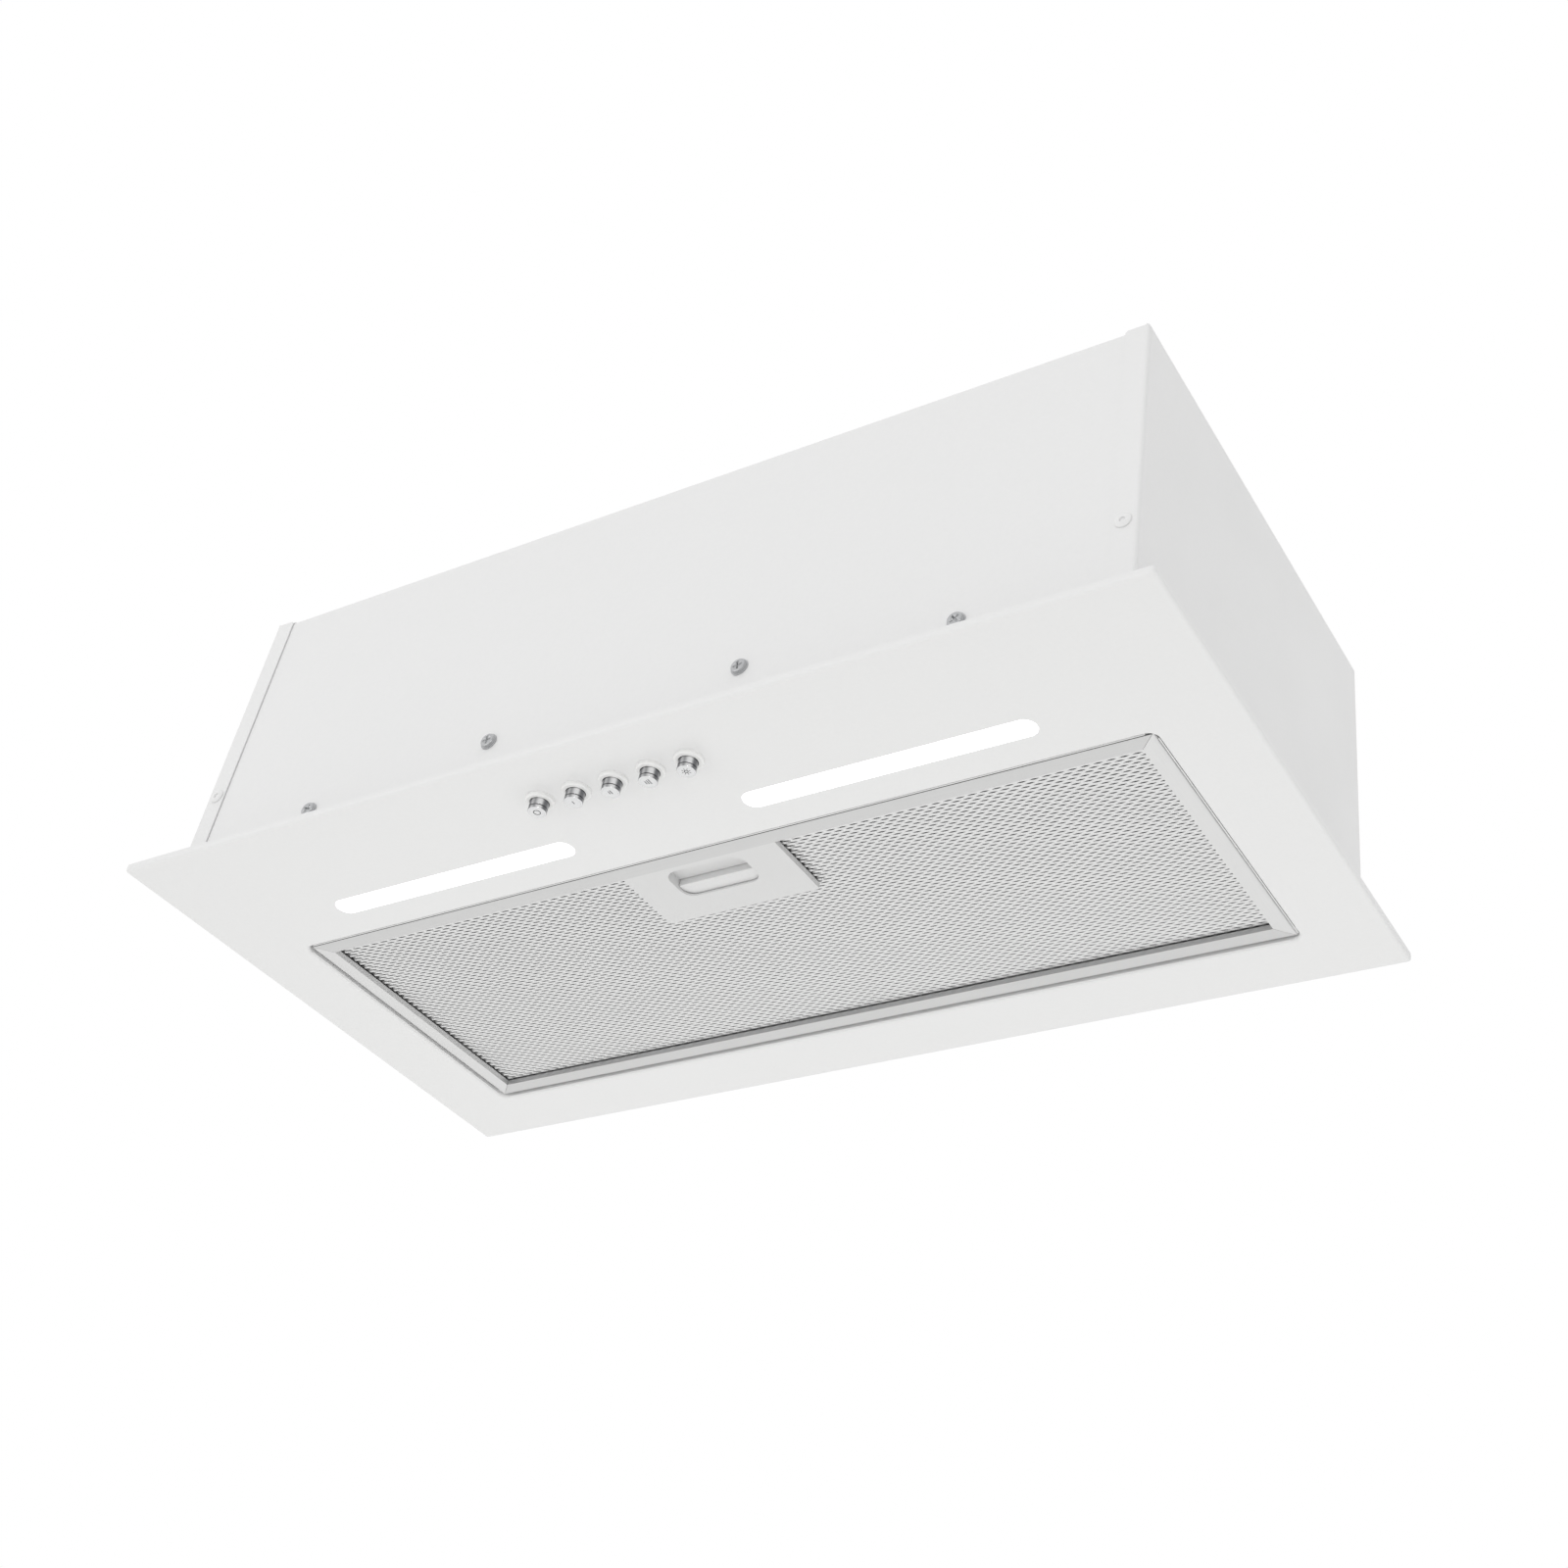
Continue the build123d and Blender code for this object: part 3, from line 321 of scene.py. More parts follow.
@dataclass(frozen=True)
class Finish:
    """A real material with the way its surface was made."""

    name: str
    colour: str
    shade: str  # the second colour that the pattern brings in
    roughness: float
    pattern: Pattern
    pattern_mm: float  # spacing of the pattern, or the scale of the painted reflection bands across a turned part
    relief_mm: float  # its depth
    roughness_spread: float = 0.06
    metallic: float = 0.0
    ior: float = 1.5
    coat: float = 0.0
    along: tuple[float, float, float] = (1.0, 1.0, 1.0)  # the pattern's stretch along X, Y and Z
    glow: float = 0.0

    def height(self, tree: bpy.types.NodeTree) -> bpy.types.NodeSocket:
        """Draws the pattern as a height from 0 to 1.

        Args:
            tree: The material's tree.

        Returns:
            The height's socket.
        """
        place = add_node(tree, "ShaderNodeTexCoord").outputs["Object"]
        squeeze = tuple(1 / stretch for stretch in self.along)
        spread = add_node(tree, "ShaderNodeMapping", inputs={"Vector": place, "Scale": squeeze}).outputs[0]
        scale = 1 / (self.pattern_mm * MM)
        if self.pattern is Pattern.SPANGLE:
            cells = {"Vector": spread, "Scale": scale, "Randomness": 1.0}
            return add_node(tree, "ShaderNodeTexVoronoi", inputs=cells).outputs["Color"]
        # Bright bands of painted reflection, set by the direction round the part's axis.
        if self.pattern is Pattern.TURNED_STREAKS:
            way = add_node(tree, "ShaderNodeTexCoord").outputs["UV"]
            lobes = {"Vector": way, "Scale": self.pattern_mm, "Detail": 1.5, "Roughness": 0.5}
            bands = add_node(tree, "ShaderNodeTexNoise", inputs=lobes).outputs["Fac"]
            steep = {"Value": bands, "From Min": 0.42, "From Max": 0.6}
            return add_node(
                tree, "ShaderNodeMapRange", {"interpolation_type": "SMOOTHSTEP"}, steep
            ).outputs[0]
        if self.pattern is Pattern.LAMINATIONS:
            bands = {"Vector": spread, "Scale": scale / math.tau, "Distortion": 0.0}
            return add_node(tree, "ShaderNodeTexWave", {"bands_direction": "X"}, bands).outputs["Fac"]
        if self.pattern is Pattern.MOULDED_GRAIN:
            pits = {"Vector": spread, "Scale": scale, "Smoothness": 0.6}
            return add_node(tree, "ShaderNodeTexVoronoi", {"feature": "SMOOTH_F1"}, pits).outputs["Distance"]
        detail = 4.0 if self.pattern is Pattern.DRAWN_LINES else 2.0
        clouds = {"Vector": spread, "Scale": scale, "Detail": detail, "Roughness": 0.55}
        return add_node(tree, "ShaderNodeTexNoise", inputs=clouds).outputs["Fac"]

    def wear(self, tree: bpy.types.NodeTree) -> bpy.types.NodeSocket:
        """Broad handling marks, tens of millimetres across, that vary the gloss.

        Args:
            tree: The material's tree.

        Returns:
            A value from 0 to 1.
        """
        place = add_node(tree, "ShaderNodeTexCoord").outputs["Object"]
        patches = {"Vector": place, "Scale": 1 / (45 * MM), "Detail": 3.0, "Roughness": 0.6}
        return add_node(tree, "ShaderNodeTexNoise", inputs=patches).outputs["Fac"]

    def material(self) -> bpy.types.Material:
        """Builds the material once and returns the same one after that."""
        known = bpy.data.materials.get(self.name)
        if known:
            return known
        made = bpy.data.materials.new(self.name)
        made.use_nodes = True
        tree = made.node_tree
        tree.nodes.clear()
        height = self.height(tree)
        blend = {"Factor": height, MIX_COLOUR_A: linear(self.colour), MIX_COLOUR_B: linear(self.shade)}
        colour = add_node(tree, "ShaderNodeMix", {"data_type": "RGBA"}, blend).outputs[MIX_COLOUR_RESULT]
        low, high = self.roughness - self.roughness_spread, self.roughness + self.roughness_spread
        limits = {"Value": self.wear(tree), "From Min": 0.3, "From Max": 0.7, "To Min": low, "To Max": high}
        gloss = add_node(tree, "ShaderNodeMapRange", inputs=limits).outputs[0]
        relief = {"Height": height, "Distance": self.relief_mm * MM, "Strength": 1.0}
        normal = add_node(tree, "ShaderNodeBump", inputs=relief).outputs[0]
        surface = {
            "Base Color": colour,
            "Metallic": self.metallic,
            "Roughness": gloss,
            "IOR": self.ior,
            "Coat Weight": self.coat,
            "Normal": normal,
        }
        if self.glow:
            surface |= {"Emission Color": linear(self.colour), "Emission Strength": self.glow}
        shader = add_node(tree, "ShaderNodeBsdfPrincipled", inputs=surface)
        add_node(tree, "ShaderNodeOutputMaterial", inputs={"Surface": shader.outputs[0]})
        return made


# Polyester powder, sprayed and baked: bright white, half gloss, with a faint orange peel of about 2 mm.
POWDER_COAT = Finish(
    "powder_coated_steel", "E9E9E9", "E6E6E6", 0.36, Pattern.ORANGE_PEEL, 2.2, 0.006, coat=0.15
)
# Hot dip zinc on steel: grey crystals of several millimetres, each with its own tone.
GALVANISED = Finish(
    "galvanised_steel", "AEB2B4", "C3C6C8", 0.42, Pattern.SPANGLE, 9.0, 0.002, metallic=1.0,
    roughness_spread=0.1
)
# Electroplated zinc on a rolled head: bright, with fine turning lines.
ZINC_PLATE = Finish(
    "zinc_plated_steel", "C4C5C6", "A9AAAC", 0.26, Pattern.DRAWN_LINES, 0.6, 0.004, metallic=1.0
)
# Decorative chromium over plastic: dark, sharp reflections, and bright bands of painted reflection along the
# sides.
CHROME = Finish(
    "chromium_plate", "77787B", "F1F1F2", 0.14, Pattern.TURNED_STREAKS, 1.7, 0.0, metallic=1.0,
    roughness_spread=0.04
)
# The dished end of a push button is brushed before plating, so it looks paler.
CHROME_FACE = Finish(
    "satin_chromium_plate", "E6E6E7", "D2D3D4", 0.22, Pattern.DRAWN_LINES, 0.5, 0.003, metallic=1.0,
    along=(6, 1, 1)
)
# Paint pressed into the engraved marks.
MARK_PAINT = Finish("engraving_paint", "58595B", "4A4B4D", 0.55, Pattern.MOULDED_GRAIN, 0.4, 0.004)
# Painted shade: a near-black colour in the buttons' narrow grooves, where the chrome lies in shade.
PAINTED_GROOVE_SHADE = Finish("joint_shade", "2E2F31", "252628", 0.7, Pattern.MOULDED_GRAIN, 0.4, 0.004)
# Painted shade: a dark strip on the frame's front fold, where the fold lies in shade.
FOLD_SHADE = Finish(
    "dulled_fold", "4C4C4D", "434344", 0.6, Pattern.DRAWN_LINES, 0.5, 0.004, metallic=0.6, along=(60, 1, 1)
)
# Painted shade: a grey line beside each flange, where the step between the sheets lies in shade.
SEAM_SHADE = Finish("seam_filler", "A2A2A2", "989898", 0.6, Pattern.MOULDED_GRAIN, 0.6, 0.004)
# Rolled aluminium strip with a satin anodised skin, drawn along its length. The front and back strips take a
# darker copy, painted shade, and the side strips a lighter copy, painted light.
SHADED_ALUMINIUM_ALONG_X = Finish(
    "anodised_aluminium_strip_x", "D3D3D3", "CCCCCC", 0.38, Pattern.DRAWN_LINES, 0.5, 0.004, metallic=0.45,
    along=(60, 1, 1)
)
LIT_ALUMINIUM_ALONG_Y = Finish(
    "anodised_aluminium_strip_y", "E0E0E0", "DADADA", 0.38, Pattern.DRAWN_LINES, 0.5, 0.004, metallic=0.45,
    along=(1, 60, 1)
)
# Slit and stretched aluminium foil: bright strands, each twisted a little.
EXPANDED_ALUMINIUM = Finish(
    "expanded_aluminium", "E6E6E6", "D4D4D4", 0.36, Pattern.ORANGE_PEEL, 1.4, 0.02, metallic=1.0
)
# A darker copy for the middle layer: painted shade, so that the slits between the strands look dark.
SHADED_EXPANDED_ALUMINIUM = Finish(
    "expanded_aluminium_inner", "96969A", "828285", 0.45, Pattern.ORANGE_PEEL, 1.4, 0.02, metallic=1.0
)
# Silver grey ABS with a fine sparkle, moulded in a polished tool.
SILVER_ABS = Finish("silver_abs", "DBDBDB", "D6D6D6", 0.38, Pattern.MOULDED_GRAIN, 0.5, 0.004, coat=0.1)
SILVER_ABS_SLIDER = Finish("silver_abs_slider", "E2E2E2", "DCDCDC", 0.34, Pattern.MOULDED_GRAIN, 0.5, 0.004)
# White polypropylene of collars, trays and housings.
WHITE_PLASTIC = Finish(
    "white_polypropylene", "F4F4F3", "EFEFEE", 0.30, Pattern.MOULDED_GRAIN, 0.6, 0.004, coat=0.2
)
# Opal acrylic, lit from behind.
OPAL_ACRYLIC = Finish(
    "opal_acrylic", "FFFFFF", "FDFEFF", 0.32, Pattern.ORANGE_PEEL, 3.0, 0.002, ior=1.49, glow=1.4
)
# Glass filled polypropylene of the blower: mid grey, dull, with a coarse spark-eroded grain.
GREY_PLASTIC = Finish("grey_polypropylene", "5D6062", "545759", 0.55, Pattern.MOULDED_GRAIN, 0.9, 0.02)
GREY_PLASTIC_SMOOTH = Finish("grey_polyamide", "6A6D70", "616466", 0.42, Pattern.MOULDED_GRAIN, 0.7, 0.008)
# Black ABS of the outlet, its flaps and the cable gland.
BLACK_PLASTIC = Finish("black_abs", "242527", "1D1E20", 0.45, Pattern.MOULDED_GRAIN, 0.8, 0.015)
# Soft black rubber of the motor's bushes.
RUBBER = Finish("nitrile_rubber", "1E1E1E", "262626", 0.75, Pattern.MOULDED_GRAIN, 0.7, 0.02)
# Ground steel of shafts, bearings and pins, and hard drawn spring wire.
GROUND_STEEL = Finish(
    "ground_steel", "B4B5B6", "9C9D9F", 0.25, Pattern.DRAWN_LINES, 0.3, 0.002, metallic=1.0, along=(1, 8, 8)
)
SPRING_WIRE = Finish(
    "spring_steel_wire", "A7A8AA", "8E8F92", 0.3, Pattern.DRAWN_LINES, 0.4, 0.002, metallic=1.0
)
# Pressed steel cups of the motor, zinc plated, and its stacked iron sheets.
PRESSED_STEEL = Finish(
    "pressed_steel", "9C9EA0", "8C8E90", 0.38, Pattern.ORANGE_PEEL, 4.0, 0.01, metallic=1.0
)
IRON_STACK = Finish("laminated_iron", "6F6B66", "4D4A47", 0.5, Pattern.LAMINATIONS, 0.8, 0.05, metallic=0.8)
# White solder mask on glass fibre board.
SOLDER_MASK = Finish(
    "white_solder_mask", "DDE2DC", "C9D0C6", 0.4, Pattern.MOULDED_GRAIN, 1.2, 0.004, coat=0.3
)


def dress(finish: Finish, *nodes: str) -> None:
    """Gives carried-over nodes a finish.

    Args:
        finish: The finish.
        nodes: The nodes' names.
    """
    for node in nodes:
        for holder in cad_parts[node].material_slots:
            holder.material = finish.material()
        log.info("%s: %s", node, finish.name)


def place_piece(piece: bpy.types.Object, finish: Finish, body: str, slot: str, *stands_for: str) -> None:
    """Finishes a new piece and ties it to the frame.

    Args:
        piece: The piece.
        finish: Its finish.
        body: The body that it rides on.
        slot: Its material slot in the record; not used.
        stands_for: Nodes that it replaces.
    """
    if not piece.data.materials:
        piece.data.materials.append(finish.material())
    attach(piece, body)
    if stands_for:
        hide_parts(*stands_for)
    log.info("%s: %s, %d faces", piece.name, finish.name, len(piece.data.polygons))


# ---------------------------------------------------------------------------------------------
# Studio
# ---------------------------------------------------------------------------------------------


@dataclass
class Softbox:
    """A plain rectangular light."""

    name: str
    place: tuple[float, float, float]
    size: tuple[float, float]
    power: float


@dataclass
class Studio:
    """Camera, pale floor and soft light round the hood."""

    camera_place: tuple[float, float, float] = (0.5763, -0.7097, -0.7668)
    camera_turn: tuple[float, float, float] = (129.327, -5.988, 29.198)  # degrees about X, Y and Z
    lens: float = 47.67
    shift: tuple[float, float] = (-0.0956, -0.0523)
    floor_drop: float = 1.0  # below the frame's origin
    floor_half: float = 6.0
    sky: float = 1.0  # brightness overhead and all round
    side_dim: float = 0.29  # how much darker the light from the right is
    boxes: list[Softbox] = field(
        default_factory=lambda: [
            Softbox("lower_softbox", (0.0, 0.05, -0.97), (2.6, 2.6), 4.8),
            Softbox("front_softbox", (-1.2, -2.2, -0.2), (1.6, 1.6), 4.0),
            Softbox("strip_light", (1.6, -1.9, -0.75), (0.12, 1.4), 4.0),
        ]
    )

    def camera(self) -> None:
        """Sets up the camera below the hood, to its right."""
        data = bpy.data.cameras.new("camera")
        data.lens = self.lens
        data.sensor_width = 36.0
        data.shift_x, data.shift_y = self.shift
        data.clip_start, data.clip_end = 0.01, 50.0
        camera = bpy.data.objects.new("camera", data)
        camera.location = self.camera_place
        camera.rotation_euler = [math.radians(angle) for angle in self.camera_turn]
        bpy.context.scene.collection.objects.link(camera)
        bpy.context.scene.camera = camera

    def floor(self) -> None:
        """Lays a pale floor well below the hood."""
        shape = bmesh.new()
        half, low = self.floor_half, -self.floor_drop
        add_bar(shape, (2 * half, 2 * half, 20 * MM), Matrix.Translation((0, 0, low - 10 * MM)), 2 * MM)
        floor = new_piece("floor", shape)
        finish = Finish("matt_floor", "F2F2F1", "EFEFEE", 0.8, Pattern.ORANGE_PEEL, 60.0, 0.05)
        floor.data.materials.append(finish.material())

    def sky_light(self) -> None:
        """Soft light from all round, a little weaker from the right."""
        world = bpy.data.worlds.new("studio_sky")
        bpy.context.scene.world = world
        world.use_nodes = True
        tree = world.node_tree
        tree.nodes.clear()
        way = add_node(tree, "ShaderNodeTexCoord").outputs["Generated"]
        across = add_node(tree, "ShaderNodeSeparateXYZ", inputs={"Vector": way}).outputs["X"]
        to_right = {
            "Value": across,
            "From Min": 0.0,
            "From Max": 0.9,
            "To Min": self.sky,
            "To Max": self.sky - self.side_dim,
        }
        strength = add_node(
            tree, "ShaderNodeMapRange", {"interpolation_type": "SMOOTHSTEP"}, to_right
        ).outputs[0]
        light = add_node(
            tree, "ShaderNodeBackground", inputs={"Color": linear("FFFFFF"), "Strength": strength}
        )
        add_node(tree, "ShaderNodeOutputWorld", inputs={"Surface": light.outputs[0]})

    def softboxes(self) -> None:
        """Hangs the softboxes, each turned to the hood's middle."""
        for box in self.boxes:
            data = bpy.data.lights.new(box.name, "AREA")
            data.shape = "RECTANGLE"
            data.size, data.size_y = box.size
            data.energy = box.power
            light = bpy.data.objects.new(box.name, data)
            light.location = box.place
            aim = Vector((0, 0, -0.12)) - Vector(box.place)
            light.rotation_euler = aim.to_track_quat("-Z", "Y").to_euler()
            bpy.context.scene.collection.objects.link(light)

    def build(self) -> None:
        """Builds the whole studio."""
        self.camera()
        self.floor()
        self.sky_light()
        self.softboxes()
        bpy.context.scene.view_settings.view_transform = "Standard"


# ---------------------------------------------------------------------------------------------
# The hood
# ---------------------------------------------------------------------------------------------


@dataclass
class Casing:
    """Folded steel sheets, painted where they show."""

    wrap: float = 12.8 * MM  # width of the side panels' folded flanges
    sheet: float = 0.8 * MM
    seam: float = 0.25 * MM  # width of the painted shade line beside each flange
    proud: float = 0.06 * MM
    opening: tuple[float, float, float] = (513.0 * MM, 177.0 * MM, 28.5 * MM)  # width, depth, middle's Y
    opening_corner: float = 5.0 * MM
    hem: float = 0.6 * MM  # thickness of the rounded hem inside the opening

    def seams(self) -> bpy.types.Object:
        """Fine grey lines of painted shade beside the flanges, where they lie on the front and back panels.
        """
        low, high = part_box("side_panel_right")
        inner = high.x - self.wrap - self.seam / 2
        face = high.y - self.sheet
        size = (self.seam, 2 * self.proud, high.z - low.z - 4 * self.sheet)
        shape = bmesh.new()
        for across in (-inner, inner):
            for deep in (-face, face):
                add_bar(shape, size, Matrix.Translation((across, deep, (low.z + high.z) / 2)), self.proud / 2)
        return new_piece("flange_seams", shape)

    def hems(self) -> bpy.types.Object:
        """The rounded hem along the four sides of the filter's opening."""
        low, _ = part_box("bottom_plate")
        width, depth, middle = self.opening
        reach_x, reach_y = (width - self.hem) / 2, (depth - self.hem) / 2
        long_x, long_y = width - 2 * self.opening_corner, depth - 2 * self.opening_corner
        sides = (
            (0, -reach_y, long_x, self.hem),
            (0, reach_y, long_x, self.hem),
            (-reach_x, 0, self.hem, long_y),
            (reach_x, 0, self.hem, long_y),
        )
        shape = bmesh.new()
        for x, y, size_x, size_y in sides:
            place = Matrix.Translation((x, middle + y, low.z + 1.5 * self.hem))
            add_bar(shape, (size_x, size_y, self.hem), place, self.hem / 3)
        return new_piece("opening_hems", shape)

    def build(self) -> None:
        """Draws the painted shade lines at the seams and the hems, and dresses the sheets."""
        # Grey lines of painted shade beside the flanges.
        place_piece(self.seams(), SEAM_SHADE, "hood", "white_enamel")
        place_piece(self.hems(), POWDER_COAT, "hood", "white_enamel")
        dress(POWDER_COAT, "bottom_plate", "front_panel", "back_panel", "side_panel_left", "side_panel_right")
        dress(GALVANISED, "top_panel", "front_brace")


@dataclass
class Fasteners:
    """Cross head screws and blind rivets."""

    head_radius: float = 4.7 * MM
    head_height: float = 2.6 * MM
    washer_height: float = 0.7 * MM
    shank_radius: float = 1.95 * MM
    recess_reach: float = 2.5 * MM
    recess_width: float = 0.95 * MM
    recess_depth: float = 1.7 * MM
    rivet_radius: float = 4.2 * MM
    rivet_height: float = 1.2 * MM
    inner_screw_x: float = 76.0 * MM
    seed: int = 7

    def pattern_tree(self) -> bpy.types.NodeTree:
        """A tree that sets a fastener on each point and turns it by a random angle."""
        tree, given = new_tree(
            "fastener_pattern",
            {
                "Fastener": "NodeSocketObject",
                "Facing": "NodeSocketRotation",
                "Seed": "NodeSocketInt",
                "Material": "NodeSocketMaterial",
            },
        )
        master = add_node(tree, "GeometryNodeObjectInfo", inputs={"Object": given["Fastener"]})
        placed = add_node(
            tree,
            "GeometryNodeInstanceOnPoints",
            inputs={
                "Points": given["Geometry"],
                "Instance": master.outputs["Geometry"],
                "Rotation": given["Facing"],
            },
        )
        angle = add_node(
            tree, "FunctionNodeRandomValue", {"data_type": "FLOAT"},
            {2: 0.0, 3: math.pi / 2, "Seed": given["Seed"]}
        )
        turn = add_node(tree, "ShaderNodeCombineXYZ", inputs={"Z": angle.outputs[1]})
        turned = add_node(
            tree,
            "GeometryNodeRotateInstances",
            inputs={"Instances": placed.outputs[0], "Rotation": turn.outputs[0], "Local Space": True},
        )
        end_tree(tree, turned.outputs[0], given["Material"])
        return tree

    def screw(self, length: float) -> bpy.types.Object:
        """One pan head screw along +Z, its head's underside at the origin.

        Args:
            length: From the head's underside to the tip.

        Returns:
            The screw, with a cross recess cut in it.
        """
        shape = bmesh.new()
        tip = 1.2 * MM
        profile = filleted(
            [
                (0, -length, 0),
                (self.shank_radius * 0.5, -length, 0),
                (self.shank_radius, -length + tip, 0),
                (self.shank_radius, 0, 0),
                (self.head_radius, 0, 0),
                (self.head_radius, self.washer_height, 0.2 * MM),
                (self.head_radius * 0.9, self.washer_height, 0),
                (self.head_radius * 0.82, self.head_height * 0.86, 0.9 * MM),
                (0, self.head_height, 0),
            ]
        )
        add_lathe(shape, profile, Matrix.Identity(4), 48)
        screw = new_piece("screw", shape)
        cutter_shape = bmesh.new()
        middle = Matrix.Translation((0, 0, self.head_height))
        for quarter in (0, math.pi / 2):
            bar = (2 * self.recess_reach, self.recess_width, 2 * self.recess_depth)
            add_bar(cutter_shape, bar, middle @ Matrix.Rotation(quarter, 4, "Z"), 0.12 * MM)
        cutter = new_piece("cutter", cutter_shape)
        cut = screw.modifiers.new("recess", "BOOLEAN")
        cut.operation, cut.solver, cut.object = "DIFFERENCE", "EXACT", cutter
        cut.use_self = True
        evaluated = screw.evaluated_get(bpy.context.evaluated_depsgraph_get())
        screw.data = bpy.data.meshes.new_from_object(evaluated)
        screw.modifiers.clear()
        bpy.data.objects.remove(cutter)
        return screw

    def rivet(self, length: float) -> bpy.types.Object:
        """One blind rivet along +Z, with the broken mandrel in its hole.

        Args:
            length: From the flange to the tail.

        Returns:
            The rivet.
        """
        shape = bmesh.new()
        radius, height = self.rivet_radius, self.rivet_height
        profile = filleted(
            [
                (0, -length, 0),
                (self.shank_radius, -length, 0.5 * MM),
                (self.shank_radius, 0, 0),
                (radius, 0, 0),
                (radius * 0.97, height * 0.5, 0.3 * MM),
                (radius * 0.55, height, 0.5 * MM),
                (radius * 0.36, height * 0.9, 0.15 * MM),
                (radius * 0.32, height * 0.25, 0.1 * MM),
                (radius * 0.24, height * 0.3, 0.1 * MM),
                (0, height * 0.55, 0),
            ]
        )
        add_lathe(shape, profile, Matrix.Identity(4), 40)
        return new_piece("rivet", shape)

    def rows(self, node: str) -> list[Vector]:
        """Places of the four front screws: the outer pair low and the inner pair high.

        Args:
            node: The node whose box the screws fill.

        Returns:
            The points on the panel under the heads.
        """
        low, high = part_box(node)
        face = low.y + self.head_height
        outer_z, inner_z = low.z + self.head_radius, high.z - self.head_radius
        outer_x = high.x - self.head_radius
        heights = ((outer_x, outer_z), (self.inner_screw_x, inner_z))
        return [Vector((sign * x, face, z)) for x, z in heights for sign in (-1, 1)]

    def build(self) -> None:
        """Builds the screws and rivets and removes their masters."""
        tree = self.pattern_tree()
        identity = Matrix.Identity(3)
        to_front = Matrix.Rotation(math.pi / 2, 3, "X")
        to_back = Matrix.Rotation(-math.pi / 2, 3, "X")
        low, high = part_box("front_screws")
        self.scatter(
            tree,
            "front_screws",
            self.screw(high.y - low.y - self.head_height),
            to_front,
            self.rows("front_screws"),
        )
        low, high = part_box("collar_screws")
        reach = high.x - self.head_radius
        middle_y = (low.y + high.y) / 2
        corners = [Vector((x, middle_y + y, high.z - self.head_height)) for x in (-reach, reach) for y in (-reach, reach)]
        self.scatter(tree, "collar_screws", self.screw(high.z - low.z - self.head_height), identity, corners)
        low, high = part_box("flange_rivets")
        reach, middle_z = high.x - self.rivet_radius, (low.z + high.z) / 2
        length = 3 * MM
        for way, face_y, turn in (
            ("front", low.y + self.rivet_height, to_front), ("back", high.y - self.rivet_height, to_back)
        ):
            spots = [Vector((x, face_y, middle_z)) for x in (-reach, reach)]
            self.scatter(tree, f"rivets_{way}", self.rivet(length), turn, spots, POWDER_COAT, "white_enamel")
        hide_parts("flange_rivets")

    def scatter(
        self,
        tree: bpy.types.NodeTree,
        name: str,
        master: bpy.types.Object,
        turn: Matrix,
        points: list[Vector],
        finish: Finish = ZINC_PLATE,
        slot: str = "zinc_screws",
    ) -> bpy.types.Object:
        """Sets one kind of fastener on its points.

        Args:
            tree: The pattern tree.
            name: The piece's name, or the node it stands for.
            master: The single fastener, which is removed.
            turn: Turns the fastener's Z axis to face outwards.
            points: Where the heads sit.
            finish: The fasteners' finish.
            slot: Their material slot in the record.

        Returns:
            The piece.
        """
        inputs = {
            "Fastener": master,
            "Facing": turn.to_euler(),
            "Seed": self.seed,
            "Material": finish.material(),
        }
        stands_for = (name,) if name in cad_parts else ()
        piece = grow(tree, name + "_fitted", inputs, points)
        bpy.data.objects.remove(master)
        place_piece(piece, finish, "hood", slot, *stands_for)
        return piece


